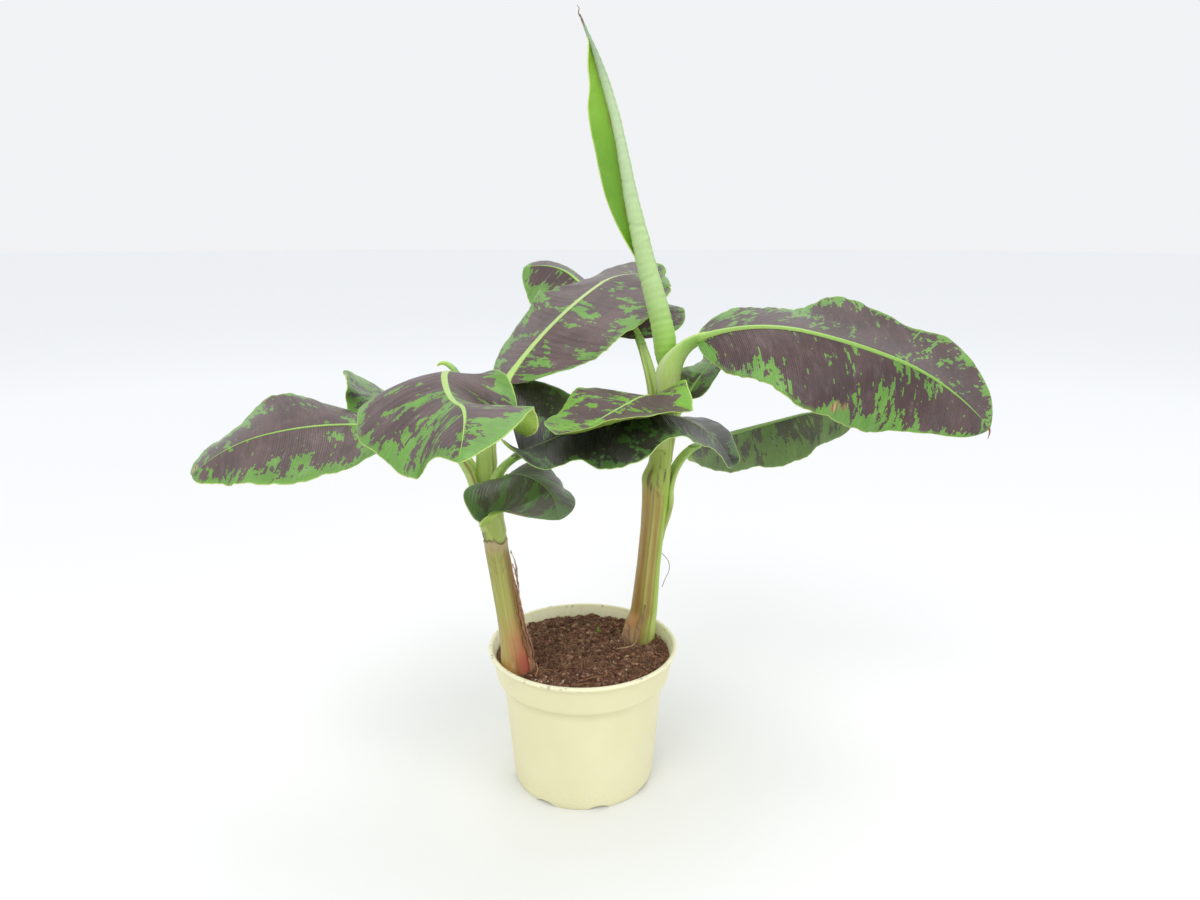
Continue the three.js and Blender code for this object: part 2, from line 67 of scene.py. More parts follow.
LEAVES = {
    "left_outer": dict(
        foot=[-102, -58, 354], stalk=[9.5, 5.5], petiole=90, length=218,
        rise=[80, 13, 3, -14, -42], turn=[175, 187, 200, 190, 205],
        left=[72, -7, -25, -25, -18, -5], right=[80, -15, 15, 20, 5, -15],
        shape=[0.4, 0.55], sweep=0.45, wave=[[3, 2.2, 0.1, 1], [3, 2.6, 0.5, -1]],
        lobes=[[-1, 0.25, 12], [-1, 0.88, -15], [1, 0.38, 8], [1, 0.63, 12], [1, 0.75, -15]]),
    "left_front": dict(
        foot=[-98, -50, 366], stalk=[9, 6.5], petiole=115, length=235,
        rise=[110, 35, -15, 5, -50], turn=[-100, -112, -77, -67, -100],
        left=[74, 15, -32, -5, 12, -5], right=[84, -10, -7, -35, -20, -35],
        shape=[0.45, 0.8], sweep=0.35, wave=[[3, 2.4, 0, 1], [4, 1.6, 0.3, -1]],
        lobes=[[-1, 0.5, 10], [1, 0.15, 12], [1, 0.5, -5]]),
    "left_back": dict(
        foot=[-108, -34, 366], stalk=[6.5, 4.5], petiole=104, length=97,
        rise=[50, 10, 5, 30, 40], turn=[145, 143, 142, 173, 195],
        left=[55, -10, -5, 5, 15, 10], right=[59, 10, 0, -5, 10, -10],
        shape=[0.4, 0.25], sweep=0.4, wave=[[2, 1.5, 0.2, 0]],
        lobes=[[-1, 0.5, -5], [1, 0.7, 5]]),
    "left_low": dict(
        foot=[-88, -56, 338], stalk=[6.5, 4.5], petiole=50, length=88,
        rise=[70, 30, -5, -40, -80], turn=[-60, -55, -32, -35, -70],
        left=[56, 30, 0, -15, -30, -20], right=[68, -5, -40, -25, -15, 5],
        shape=[0.25, 0.3], sweep=-0.3, wave=[[3, 1.5, 0, 1]],
        lobes=[[1, 0.35, -8]]),
    "left_top": dict(
        foot=[-93, -41, 378], stalk=[8.5, 6], petiole=85, length=270,
        rise=[98, 40, 38, 15, -10], turn=[65, 58, 35, 60, 5],
        left=[84, -24, -3, -9, 22, 0], right=[84, -5, -20, -10, -10, 0],
        shape=[0.4, 0.45], sweep=0.45, wave=[[3, 2, 0, 1], [4, 1.8, 0.4, -1]],
        lobes=[[-1, 0.38, -8], [-1, 0.75, -15], [-1, 0.9, 20], [1, 0.15, 15], [1, 0.38, -8], [1, 0.75, -10]]),
    "middle_low": dict(
        foot=[-88, -62, 352], stalk=[7.5, 6], petiole=56, length=235,
        rise=[85, 25, 23, -12, -65], turn=[-43, -3, -10, 5, -30],
        left=[104, 55, -10, -10, 15, -5], right=[95, 15, -25, -10, 0, 15],
        shape=[0.15, 0.4], sweep=0.1, wave=[[4, 2.2, 0.2, 1]],
        lobes=[[-1, 0.64, 12], [-1, 0.96, -50], [1, 0.12, 35], [1, 0.26, -35], [1, 0.5, 20],
               [1, 0.63, -25], [1, 0.95, -30]]),
    "right_outer": dict(
        foot=[86, 1, 446], stalk=[13.5, 9], petiole=70, length=328,
        rise=[95, 22, -11, -24, -50], turn=[-5, -27, -13, 14, -15],
        left=[112, 17, 6, 25, 33, 0], right=[78, -45, -40, -80, -40, -20],
        shape=[0.5, 0.45], sweep=-0.35, wave=[[3, 1.5, 0.25, -1], [3, 2.4, 0.2, 1]],
        lobes=[[-1, 0.5, 8], [-1, 0.75, -18], [-1, 0.88, 12], [1, 0.25, -8], [1, 0.4, 8]]),
    "right_low": dict(
        foot=[93, 13, 322], stalk=[7, 5], petiole=76, length=247,
        rise=[98, 5, 5, 8, -40], turn=[30, 49, 31, 24, 20],
        left=[58, -45, -55, -60, -55, -5], right=[56, -95, -80, -60, -65, -40],
        shape=[0.4, 0.5], sweep=0.05, wave=[[3, 2.6, 0.1, 1]],
        lobes=[[1, 0.13, -6], [1, 0.5, 5]]),
    "right_front": dict(
        foot=[82, -2, 412], stalk=[7.5, 5.5], petiole=46, length=139,
        rise=[75, 17, -10, -22, 5], turn=[-105, -114, -127, -145, -147],
        left=[65, 20, -10, 5, 10, 20], right=[64, 0, 10, 5, 10, -5],
        shape=[0.3, 0.35], sweep=-0.05, wave=[[2.5, 1.8, 0.3, 1], [2.5, 2.6, 0.1, -1]],
        lobes=[[-1, 0.12, -12], [-1, 0.38, 12], [1, 0.5, -6]]),
    "back_top": dict(
        foot=[77, 14, 436], stalk=[7.5, 5], petiole=66, length=260,
        rise=[77, 45, 5, 25, -13], turn=[128, 113, 115, 127, 156],
        left=[72, 0, -40, -45, -50, 5], right=[88, 0, 0, -25, 25, -10],
        shape=[0.3, 0.45], sweep=0.15, wave=[[3, 1.8, 0.2, 0]],
        lobes=[[1, 0.38, 5]]),
    "right_back": dict(
        foot=[96, 18, 412], stalk=[7, 5.5], petiole=25, length=150,
        rise=[50, 51, 40, 5, -11], turn=[32, 29, 28, 53, 55],
        left=[48, 22, -12, 3, 4, -8], right=[42, -12, 15, -8, -5, 8],
        shape=[0.35, 0.4], sweep=0.4, wave=[[2, 1.8, 0, 0]],
        lobes=[[-1, 0.12, 8]]),
}

ROLLED = np.array([
    [88.5, 8, 466, 7.5], [87, 8, 480, 11], [85.5, 7.5, 500, 12], [81, 7, 520, 11.5],
    [74, 6.5, 545, 11], [65.5, 6, 575, 10], [58, 5.5, 605, 9], [50.5, 5, 635, 7.5],
    [45.5, 4.5, 660, 6.5], [40.5, 4, 685, 5.5], [33.5, 3.5, 715, 5], [24, 2.5, 745, 4.5],
    [15.5, 2, 768, 3], [6.5, 1, 788, 1.5], [0, 0, 803, 0.7]], float)
FLAP_LOW, FLAP_HIGH = 580, 779
FLAP_WIDTHS = [0.5, 8.5, 14.5, 18.5, 20.5, 21.5, 22, 20, 12.5, 8, 0.5]
ROLLED_TIP = np.array([
    [-113, -66, 452, 3.6], [-116, -62, 464, 3.6], [-121, -58, 474, 3.1], [-128, -55, 480, 2.5],
    [-134, -54, 481.5, 1.8], [-139, -54, 479, 1.0]], float)


# ---- numbers ----------------------------------------------------------------------
def smooth(values, t):
    """Catmull-Rom curve through evenly spaced values."""
    a = np.array(values, float)
    n = len(a) - 1
    e = np.concatenate([[2 * a[0] - a[1]], a, [2 * a[-1] - a[-2]]])
    x = np.clip(np.asarray(t, float) * n, 0, n - 1e-9)
    i = np.floor(x).astype(int)
    f = x - i
    if a.ndim > 1:
        f = f[..., None]
    p, q, r, s = e[i], e[i + 1], e[i + 2], e[i + 3]
    return q + 0.5 * f * (r - p + f * (2 * p - 5 * q + 4 * r - s + f * (3 * (q - r) + s - p)))


def ramp(x, low, high):
    """0 below low, 1 above high, smooth between; low may be above high."""
    t = np.clip((np.asarray(x, float) - low) / (high - low), 0, 1)
    return t * t * (3 - 2 * t)


def unit(v):
    return v / np.maximum(np.linalg.norm(v, axis=-1, keepdims=True), 1e-12)



def field(points, scale, seed=0.0, octaves=3):
    """Smooth noise, about -1 to 1, at points."""
    p = np.asarray(points, float) * scale
    values = [mnoise.fractal(Vector((x, y, z + seed)), 0.9, 2.0, octaves) for x, y, z in p.reshape(-1, 3)]
    return np.array(values).reshape(p.shape[:-1])


def wobble(x, seed, pitch):
    """A smooth random line along x, about -1 to 1."""
    r = np.random.default_rng(seed)
    x = np.asarray(x, float)
    return sum(np.sin(x * 2 * np.pi / (pitch * k) + r.uniform(0, 7)) * w
               for k, w in ((1, 0.5), (0.47, 0.3), (1.9, 0.4), (0.23, 0.15)))


def around(n):
    """The angles of n points round a ring."""
    return np.linspace(0, 2 * np.pi, n, endpoint=False)


def toward(a, degrees, width):
    """1 where the angle points to degrees (0 right, -90 front), falling to 0 over width."""
    d = np.abs(np.mod(a - math.radians(degrees) + np.pi, 2 * np.pi) - np.pi)
    return ramp(d, math.radians(width), 0)


def srgb(r, g, b):
    """Linear colour of a display colour of 0 to 255."""
    return tuple(((c / 255 + 0.055) / 1.055) ** 2.4 if c > 10 else c / 255 / 12.92 for c in (r, g, b))


def blend(a, b, t):
    t = np.asarray(t, float)[..., None]
    return np.asarray(a, float) * (1 - t) + np.asarray(b, float) * t


def coats(tint, *layers):
    """Layers over tint, in turn: each a display colour and how much of it covers, 0 to 1."""
    for colour, share in layers:
        tint = blend(tint, srgb(*colour), share)
    return tint


# ---- meshes -----------------------------------------------------------------------
ATTRIBUTES = {1: ("FLOAT", "value"), 3: ("FLOAT_VECTOR", "vector"), 4: ("FLOAT_COLOR", "color")}


def grid_faces(rows, cols, wrap=False):
    i, j = np.meshgrid(np.arange(rows - 1), np.arange(cols if wrap else cols - 1), indexing="ij")
    a, b = i * cols + j, i * cols + (j + 1) % cols
    return np.stack([a, b, b + cols, a + cols], -1).reshape(-1, 4)


class Piece:
    """Gathers closed skins and makes one object of them."""

    def __init__(self):
        self.points, self.faces, self.slots, self.data, self.count = [], [], [], [], 0

    def add(self, points, quads, tris=(), slot=0, tint=None, **data):
        """Adds a skin and turns it outward; tint is one linear colour or one for each point."""
        n = len(points)
        quads, tris = np.asarray(quads, int).reshape(-1, 4), np.asarray(tris, int).reshape(-1, 3)
        a, b, c = points[np.concatenate([quads[:, :3], quads[:, [0, 2, 3]], tris])].transpose(1, 0, 2)
        if (a * np.cross(b, c)).sum() < 0:
            quads, tris = quads[:, ::-1], tris[:, ::-1]
        if tint is not None:
            data["tint"] = np.concatenate([np.broadcast_to(tint, (n, 3)), np.ones((n, 1))], 1)
        self.points.append(points)
        self.faces += (quads + self.count).tolist() + (tris + self.count).tolist()
        self.slots.append(np.broadcast_to(slot, len(quads) + len(tris)))
        self.data.append({k: np.asarray(v, float).reshape(n, -1) for k, v in data.items()})
        self.count += n

    def skin(self, rings, tint, slot=0):
        """Adds a closed skin over rings (n, m, 3), each ring point with its colour."""
        self.add(*skin(rings), slot=slot, tint=capped(tint))

    def tube(self, path, radius, sides, colour, slot=0):
        self.add(*tube(path, radius, sides), slot=slot, tint=srgb(*colour))

    def build(self, name, materials, slot, replaces=(), sharp=None):
        me = bpy.data.meshes.new(name)
        me.from_pydata((np.concatenate(self.points) * MM).tolist(), [], self.faces)
        me.polygons.foreach_set("use_smooth", [True] * len(me.polygons))
        for m in materials:
            me.materials.append(m)
        me.polygons.foreach_set("material_index", np.concatenate(self.slots).astype(np.int32))
        for key in sorted({k for d in self.data for k in d}):
            width = next(d[key].shape[1] for d in self.data if key in d)
            kind, part = ATTRIBUTES[width]
            layer = me.attributes.new(key, kind, "POINT")
            values = [d.get(key, np.zeros((len(p), width))) for d, p in zip(self.data, self.points)]
            layer.data.foreach_set(part, np.concatenate(values).astype(np.float32).ravel())
        me.update()
        if sharp:
            me.set_sharp_from_angle(angle=math.radians(sharp))
        ob = bpy.data.objects.new(name, me)
        bpy.context.scene.collection.objects.link(ob)
        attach(ob, ROOT)
        if replaces:
            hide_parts(*replaces)
        return ob


def skin(rings):
    """Points, quads and end triangles of a closed skin over rings (n, m, 3)."""
    n, m, _ = rings.shape
    points = np.concatenate([rings.reshape(-1, 3), [rings[0].mean(0), rings[-1].mean(0)]])
    j = np.arange(m)
    k = (j + 1) % m
    ends = np.concatenate([np.stack([k, j, np.full(m, n * m)], -1),
                           np.stack([j + (n - 1) * m, k + (n - 1) * m, np.full(m, n * m + 1)], -1)])
    return points, grid_faces(n, m, True), ends


def capped(values):
    """Per-ring-point values with those of the two end points added."""
    flat = values.reshape(-1, values.shape[-1])
    return np.concatenate([flat, values[0].mean(0)[None], values[-1].mean(0)[None]])


def frames(path):
    """Two sideways directions along a path, turning as little as they can."""
    t = unit(np.gradient(path, axis=0))
    side = np.cross(t[0], (0.0, 0.0, 1.0))
    if np.linalg.norm(side) < 0.1:
        side = np.cross(t[0], (1.0, 0.0, 0.0))
    out = [unit(side)]
    for d in t[1:]:
        out.append(unit(out[-1] - d * (out[-1] @ d)))
    e = np.array(out)
    return e, np.cross(t, e)


def rings_round(path, e, f, a, r):
    """Rings of radius r at the angles a, from the direction e to f."""
    return path[:, None] + r[..., None] * (np.cos(a)[:, None] * e[:, None] + np.sin(a)[:, None] * f[:, None])


def tube(path, radius, sides):
    return skin(rings_round(path, *frames(path), around(sides), np.broadcast_to(radius, len(path))[:, None]))


def sheet(rows, thick):
    """Closed skin round a sheet (n, m, 3): points, quads, and the slot 0 above, 1 below, 2 on the edge."""
    n, m, _ = rows.shape
    up = unit(np.cross(np.gradient(rows, axis=1), np.gradient(rows, axis=0)))
    t = np.broadcast_to(thick, (n, m))[..., None] / 2
    points = np.concatenate([(rows + up * t).reshape(-1, 3), (rows - up * t).reshape(-1, 3)])
    g = grid_faces(n, m)
    ring = np.concatenate([np.arange(m - 1), np.arange(n - 1) * m + m - 1,
                           (n - 1) * m + np.arange(m - 1, 0, -1), np.arange(n - 1, 0, -1) * m])
    after = np.roll(ring, -1)
    edge = np.stack([ring, ring + n * m, after + n * m, after], -1)
    quads = np.concatenate([g, g[:, ::-1] + n * m, edge])
    return points, quads, np.repeat([0, 1, 2], [len(g), len(g), len(edge)])


def twice(values):
    """Values of a sheet's points for its upper and lower face."""
    return np.tile(values.reshape(-1, values.shape[-1]), (2, 1))


# ---- materials --------------------------------------------------------------------
VEIN_GAP = 8.0  # between the side veins that pleat a blade
FINE_VEIN = 1.5  # between the fine veins that end a blotch in steps
FINEST_VEIN = 2.1  # between the ripples of the bump


class Mat:
    """A node material: small helpers that each return an output socket."""

    def __init__(self, name, roughness, specular, coat=0.0, sheen=0.0, subsurface=0.0):
        self.mat = bpy.data.materials.new(name)
        self.mat.use_nodes = True
        self.tree = self.mat.node_tree
        self.bsdf = next(n for n in self.tree.nodes if n.type == "BSDF_PRINCIPLED")
        values = {"Roughness": roughness, "Specular IOR Level": specular, "Coat Weight": coat,
                  "Coat Roughness": 0.3, "Sheen Weight": sheen}
        if subsurface:
            values.update({"Subsurface Weight": subsurface, "Subsurface Scale": 0.004,
                           "Subsurface Radius": (1.0, 1.0, 0.4)})
        for key, value in values.items():
            self.bsdf.inputs[key].default_value = value

    def node(self, kind, inputs=(), out=0, **props):
        """A new node with its first inputs filled: one of its outputs."""
        n = self.tree.nodes.new("ShaderNode" + kind)
        for k, v in props.items():
            setattr(n, k, v)
        for socket, value in zip(n.inputs, inputs):
            self.put(socket, value)
        return n.outputs[out]

    def put(self, socket, value):
        if isinstance(value, bpy.types.NodeSocket):
            self.tree.links.new(value, socket)
        elif value is not None:
            try:
                socket.default_value = value
            except (TypeError, ValueError):
                socket.default_value = (*value, 1.0)

    def attribute(self, name, out="Vector"):
        return self.node("Attribute", out=out, attribute_name=name)

    def parts(self, vector):
        return self.node("SeparateXYZ", (vector,)).node.outputs

    def place(self):
        return self.node("TexCoord", out="Object")

    def noise(self, vector, scale, detail, roughness, distortion=0.0, shift=(0, 0, 0)):
        """Noise; a scale of three numbers stretches it, and shift then moves it."""
        if np.ndim(scale):
            vector = self.node("VectorMath", (vector, scale, shift), operation="MULTIPLY_ADD")
            scale = 1.0
        n = self.node("TexNoise", (vector,)).node
        values = (scale, detail, roughness, distortion)
        for key, value in zip(("Scale", "Detail", "Roughness", "Distortion"), values):
            n.inputs[key].default_value = value
        return n.outputs[0]

    def math(self, operation, *values):
        return self.node("Math", values, operation=operation)

    def span(self, value, a, b, c=0.0, d=1.0):
        return self.node("MapRange", (value, a, b, c, d), interpolation_type="SMOOTHSTEP")

    def share(self, value, a, b, most):
        """0 where value is a, and most where it is b."""
        return self.math("MULTIPLY", self.span(value, a, b), most)

    def mix(self, factor, a, b, how="MIX"):
        n = self.node("Mix", (factor,), data_type="RGBA", blend_type=how).node
        self.put(n.inputs[6], a)
        self.put(n.inputs[7], b)
        return n.outputs[2]

    def coats(self, base, *layers):
        """Layers over base, in turn: each how much of it covers, and its colour."""
        for share, colour in layers:
            base = self.mix(share, base, colour)
        return base

    def done(self, base, height, distance, rough=None):
        """Sets the colour, the bump and, if given, the roughness."""
        n = self.node("Bump").node
        n.inputs["Strength"].default_value = 1.0
        n.inputs["Distance"].default_value = distance
        self.put(n.inputs["Height"], height)
        for key, value in (("Base Color", base), ("Normal", n.outputs[0]), ("Roughness", rough)):
            self.put(self.bsdf.inputs[key], value)
        return self.mat


def lit(colour, times):
    return [c * times for c in colour]


def leaf_top(name, seed, cover, purple, green, contrast):
    """Purple-brown leaf face with green patches that run along the side veins and fill the margin."""
    m = Mat(name, 0.38, 0.4, coat=0.06)
    at = m.attribute("leaf")
    along, away, out = m.parts(at)  # along the leaf, shifted so that a side vein keeps one value
    stepped = m.node("CombineXYZ", (m.math("SNAP", along, FINE_VEIN), away, out))
    value = m.noise(stepped, (0.088, 0.034, 0), 4.0, 0.55, 0.1, (seed, seed * 1.7, seed))
    islands = m.noise(stepped, (0.24, 0.1, 0), 3.0, 0.55, 0.1, (seed * 3, 0, seed))
    streak = m.noise(stepped, (0.7, 0.09, 0), 2.0, 0.6, 0.0, (0, seed, seed))
    regions = m.noise(at, (0.018, 0.01, 0), 1.0, 0.5, 0.0, (seed, 3.0, seed * 2))
    for part, weight in ((islands, 0.62), (streak, 0.16), (regions, 0.6)):
        value = m.math("MULTIPLY_ADD", m.math("SUBTRACT", part, 0.5), weight, value)
    rim = m.attribute("rim", "Fac")
    value = m.math("ADD", value, m.span(out, 0.45, 1.0, -0.035, 0.05))
    value = m.math("ADD", value, m.span(rim, 20.0, 2.0, 0.0, 0.11))
    mask = m.span(value, 0.586 - cover, 0.6 - cover)
    fine = m.noise(at, (0.9, 0.06, 0), 2.0, 0.5, 0.0, (0, 0, seed))
    cloud = m.noise(at, (0.03, 0.03, 0), 3.0, 0.6, 0.0, (seed, 0, 0))
    bloom_and_sheen = m.noise(at, (0.09, 0.04, 0), 5.0, 0.7, 0.0, (0, seed, 5.0))
    scratch = m.noise(at, (0.75, 0.045, 0), 5.0, 0.8, 0.3, (seed, 2.0, seed))
    dark = m.mix(m.span(cloud, 0.35, 0.7), lit(purple, 0.72), lit(purple, 1.1))
    dark = m.mix(m.share(fine, 0.5, 0.72, 0.22), dark, lit(purple, 0.55))
    light = m.mix(m.span(cloud, 0.3, 0.7), lit(green, 0.8), lit(green, 1.15))
    light = m.mix(m.share(fine, 0.45, 0.8, 0.28), light, lit(green, 0.68))
    veins = m.math("COSINE", m.math("MULTIPLY", along, 2 * math.pi / VEIN_GAP))
    base = m.coats(
        m.mix(m.math("MULTIPLY", mask, contrast), dark, light),
        (m.span(veins, 0.7, 1.0, 0.0, 0.16), lit(purple, 1.5)),
        # pale grey clouds: partly waxy bloom, partly painted sheen
        (m.share(bloom_and_sheen, 0.5, 0.78, 0.2), srgb(160, 162, 158)),
        (m.share(scratch, 0.68, 0.74, 0.35), srgb(190, 184, 178)),
        (m.span(rim, 6.0, 1.2, 0.0, 0.5), lit(green, 1.15)),
        (m.span(rim, 1.0, 0.6, 0.0, 0.8), srgb(186, 204, 112)),
        (m.attribute("dry", "Fac"), m.mix(m.span(fine, 0.4, 0.6), srgb(176, 150, 96), srgb(104, 78, 56))))
    ripple = m.math("MULTIPLY_ADD", along, 2 * math.pi / FINEST_VEIN, m.math("MULTIPLY", fine, 3.0))
    height = m.math("ADD", m.math("MULTIPLY", m.math("SINE", ripple), 0.4), fine)
    return m.done(base, height, 0.0002, m.span(bloom_and_sheen, 0.35, 0.8, 0.3, 0.48))


def leaf_under():
    m = Mat("leaf_under", 0.5, 0.35)
    at = m.attribute("leaf")
    fine = m.noise(at, (0.6, 0.04, 0), 3.0, 0.6)
    cloud = m.noise(at, (0.03, 0.02, 0), 3.0, 0.6)
    base = m.coats(
        m.mix(m.span(cloud, 0.3, 0.7), srgb(138, 172, 62), srgb(166, 196, 88)),
        (m.share(fine, 0.5, 0.75, 0.4), srgb(112, 148, 58)),
        (m.span(m.attribute("rim", "Fac"), 1.3, 0.7), srgb(210, 220, 132)))
    ripple = m.math("SINE", m.math("MULTIPLY", m.parts(at)[0], 2 * math.pi / FINEST_VEIN))
    return m.done(base, m.math("ADD", ripple, fine), 0.0003)


def waxy(name, roughness, bump, along, shade, specular=0.45):
    """Plant skin: the colour that the mesh carries, with fibres along it and small flecks."""
    m = Mat(name, roughness, specular, subsurface=0.06)
    at = m.place()
    fibre = m.noise(at, along, 4.0, 0.65)
    fleck = m.noise(at, 420.0, 3.0, 0.7)
    tint = m.attribute("tint", "Color")
    base = m.mix(m.share(fibre, 0.42, 0.75, shade * 2.2), tint, (0.62, 0.6, 0.5), "MULTIPLY")
    base = m.mix(m.share(fleck, 0.66, 0.8, 0.2), base, srgb(120, 92, 60))
    return m.done(base, m.math("ADD", fibre, m.math("MULTIPLY", fleck, 0.25)), bump,
                  m.span(fibre, 0.3, 0.8, roughness - 0.08, roughness + 0.1))


def pot_plastic():
    m = Mat("pot_plastic", 0.46, 0.45, subsurface=0.08)
    at = m.place()
    cloud = m.noise(at, 9.0, 3.0, 0.6)
    drag = m.noise(at, (60, 60, 520), 2.0, 0.5)
    speck = m.noise(at, 620.0, 2.0, 0.8)
    low = m.span(m.parts(at)[2], 0.05, 0.0)
    base = m.coats(
        m.mix(m.span(cloud, 0.3, 0.75), srgb(224, 219, 176), srgb(231, 227, 188)),
        (m.share(speck, 0.7, 0.82, 0.3), srgb(160, 140, 100)),
        (m.math("MULTIPLY", low, m.span(speck, 0.5, 0.8, 0.0, 0.4)), srgb(168, 160, 120)),
        # pale: painted highlight on the rim, and painted light that brightens the shaded inner wall
        (m.attribute("pale", "Fac"), srgb(246, 242, 212)),
        (m.attribute("dirt", "Fac"), srgb(96, 72, 52)))
    height = m.math("ADD", m.math("MULTIPLY", drag, 0.5), m.noise(at, 340.0, 3.0, 0.6))
    return m.done(base, height, 0.00009, m.span(cloud, 0.2, 0.8, 0.4, 0.54))


def peat():
    m = Mat("peat", 0.93, 0.15)
    at = m.place()
    lump = m.noise(at, 90.0, 5.0, 0.7)
    fine = m.noise(at, 620.0, 4.0, 0.75)
    base = m.mix(m.span(lump, 0.3, 0.6, 0.45, 1.0), srgb(78, 54, 45), m.attribute("tint", "Color"))
    base = m.mix(m.share(fine, 0.5, 0.72, 0.5), base, srgb(172, 136, 110))
    return m.done(base, m.math("ADD", fine, m.math("MULTIPLY", lump, 2.0)), 0.0012)


def husk():
    m = Mat("dry_husk", 0.85, 0.2, sheen=0.1)
    at = m.place()
    fibre = m.noise(at, (420, 420, 22), 5.0, 0.7)
    cloud = m.noise(at, 60.0, 3.0, 0.6)
    base = m.mix(m.span(fibre, 0.35, 0.75, 0.0, 0.55), m.attribute("tint", "Color"), srgb(110, 76, 56))
    base = m.mix(m.share(cloud, 0.5, 0.75, 0.5), base, srgb(196, 160, 124))
    return m.done(base, fibre, 0.0006)


UNDER, HUSK, PEAT = leaf_under(), husk(), peat()
RIB = waxy("leaf_rib", 0.4, 0.0001, (300, 300, 300), 0.06)
STALK = waxy("stalk_skin", 0.4, 0.00012, (240, 240, 60), 0.1)
STEM = waxy("stem_skin", 0.46, 0.0002, (300, 300, 7), 0.13)
ROLL = waxy("rolled_skin", 0.48, 0.00012, (260, 260, 130), 0.07)
FIBRE = waxy("fibre", 0.8, 0.0002, (400, 400, 400), 0.2, specular=0.2)

# Each leaf's seed, how much of its face is green, its two colours, and how sharp the patches are. The
# near-black colours of middle_low and the dull dark colours of right_low are painted shade from the leaves
# above them.
PURPLE, DEEP, DULL = (88, 70, 68), (76, 55, 54), (74, 74, 58)
GREEN, BRIGHT, SHADE = (96, 144, 54), (106, 158, 46), (66, 102, 44)
LOOKS = {
    "left_front": (1.3, 0.03, PURPLE, GREEN, 1.0), "left_outer": (4.1, 0.0, PURPLE, GREEN, 0.95),
    "left_back": (7.7, 0.1, DULL, GREEN, 0.8), "left_low": (2.9, 0.05, (88, 88, 72), (88, 124, 66), 0.75),
    "left_top": (9.2, 0.0, PURPLE, GREEN, 1.0), "middle_low": (5.5, -0.01, (44, 44, 36), SHADE, 1.0),
    "right_outer": (3.6, 0.0, DEEP, GREEN, 1.0), "right_low": (6.4, 0.12, (70, 74, 46), (92, 128, 48), 0.7),
    "right_front": (8.3, 0.06, PURPLE, BRIGHT, 0.95), "back_top": (11.1, 0.03, DEEP, GREEN, 0.9),
    "right_back": (12.7, 0.12, DULL, GREEN, 0.8),
}
# Rib colour at the foot of the blade and at its tip; middle_low's darker rib is painted shade.
FRESH_RIB = ((160, 196, 100), (130, 176, 78))
RIB_TONES = {
    "left_top": ((164, 196, 104), (180, 192, 144)), "left_front": ((168, 188, 122), (146, 190, 84)),
    "left_low": ((118, 132, 92), (108, 128, 82)), "middle_low": ((104, 122, 74), (132, 150, 88)),
    "left_back": ((120, 150, 92), (150, 150, 92)), "right_back": ((150, 178, 110), (120, 158, 84)),
    "right_low": ((126, 160, 70), (104, 132, 62)),
}


# ---- leaves -----------------------------------------------------------------------
def rib_of(leaf):
    """Rib as a walk along its headings: place, and the directions ahead, right and up."""
    p, length, n = leaf["petiole"], leaf["length"], 240
    knots = [0, p, p + length / 3, p + 2 * length / 3, p + length]

    def heading(s):
        e, a = (np.radians(np.interp(s, knots, leaf[k])) for k in ("rise", "turn"))
        return np.stack([np.cos(e) * np.cos(a), np.cos(e) * np.sin(a), np.sin(e)], -1), a

    ds = (p + length) / n
    walk = np.concatenate([[leaf["foot"]], np.array(leaf["foot"])
                           + np.cumsum(heading((np.arange(n) + 0.5) * ds)[0] * ds, 0)])

    def at(s):
        s = np.asarray(s, float)
        ahead, a = heading(s)
        place = np.stack([np.interp(s, np.arange(n + 1) * ds, walk[:, k]) for k in range(3)], -1)
        place = place + np.maximum(s - n * ds, 0)[..., None] * ahead
        right = np.stack([np.sin(a), -np.cos(a), 0 * a], -1)
        return place, ahead, right, np.cross(right, ahead)

    return at


def fullness_of(leaf, u):
    a, b = leaf["shape"]
    m = a / (a + b)
    return u ** a * (1 - u) ** b / (m ** a * (1 - m) ** b)


def lobe_at(leaf, side, u):
    """How much wider one half is at u, as a part of its width."""
    wider = np.zeros_like(u)
    for on, place, percent in leaf["lobes"]:
        off = np.minimum(1, np.abs(u - place) / LOBE_REACH)
        wider += (on == side) * percent / 100 * (0.5 + 0.5 * np.cos(np.pi * off))
    return wider


BLADE = 0.9  # thickness of the finer blade
VEIN_LEAN = 0.22  # how far a side vein leans to the tip
PLEAT = 0.42  # height of a pleat between two side veins
ROW_STEP, HALF_COLUMNS = 1.6, 30  # a blade's rows are this far apart, with so many columns a half
# Dry spots: how far along the blade, which half, how far out to the margin, and how wide in millimetres.
DRY_SPOTS = {
    "right_outer": [(0.5, 1, 0.86, 6), (0.53, 1, 0.8, 4)], "left_back": [(0.75, -1, 0.5, 2.5)],
    "left_low": [(0.93, 1, 0.9, 6)], "left_outer": [(0.97, 1, 0.4, 5), (0.6, 1, 0.97, 3)],
    "middle_low": [(0.62, -1, 0.7, 7), (0.72, -1, 0.5, 4)], "right_low": [(0.98, -1, 0.3, 6)],
}


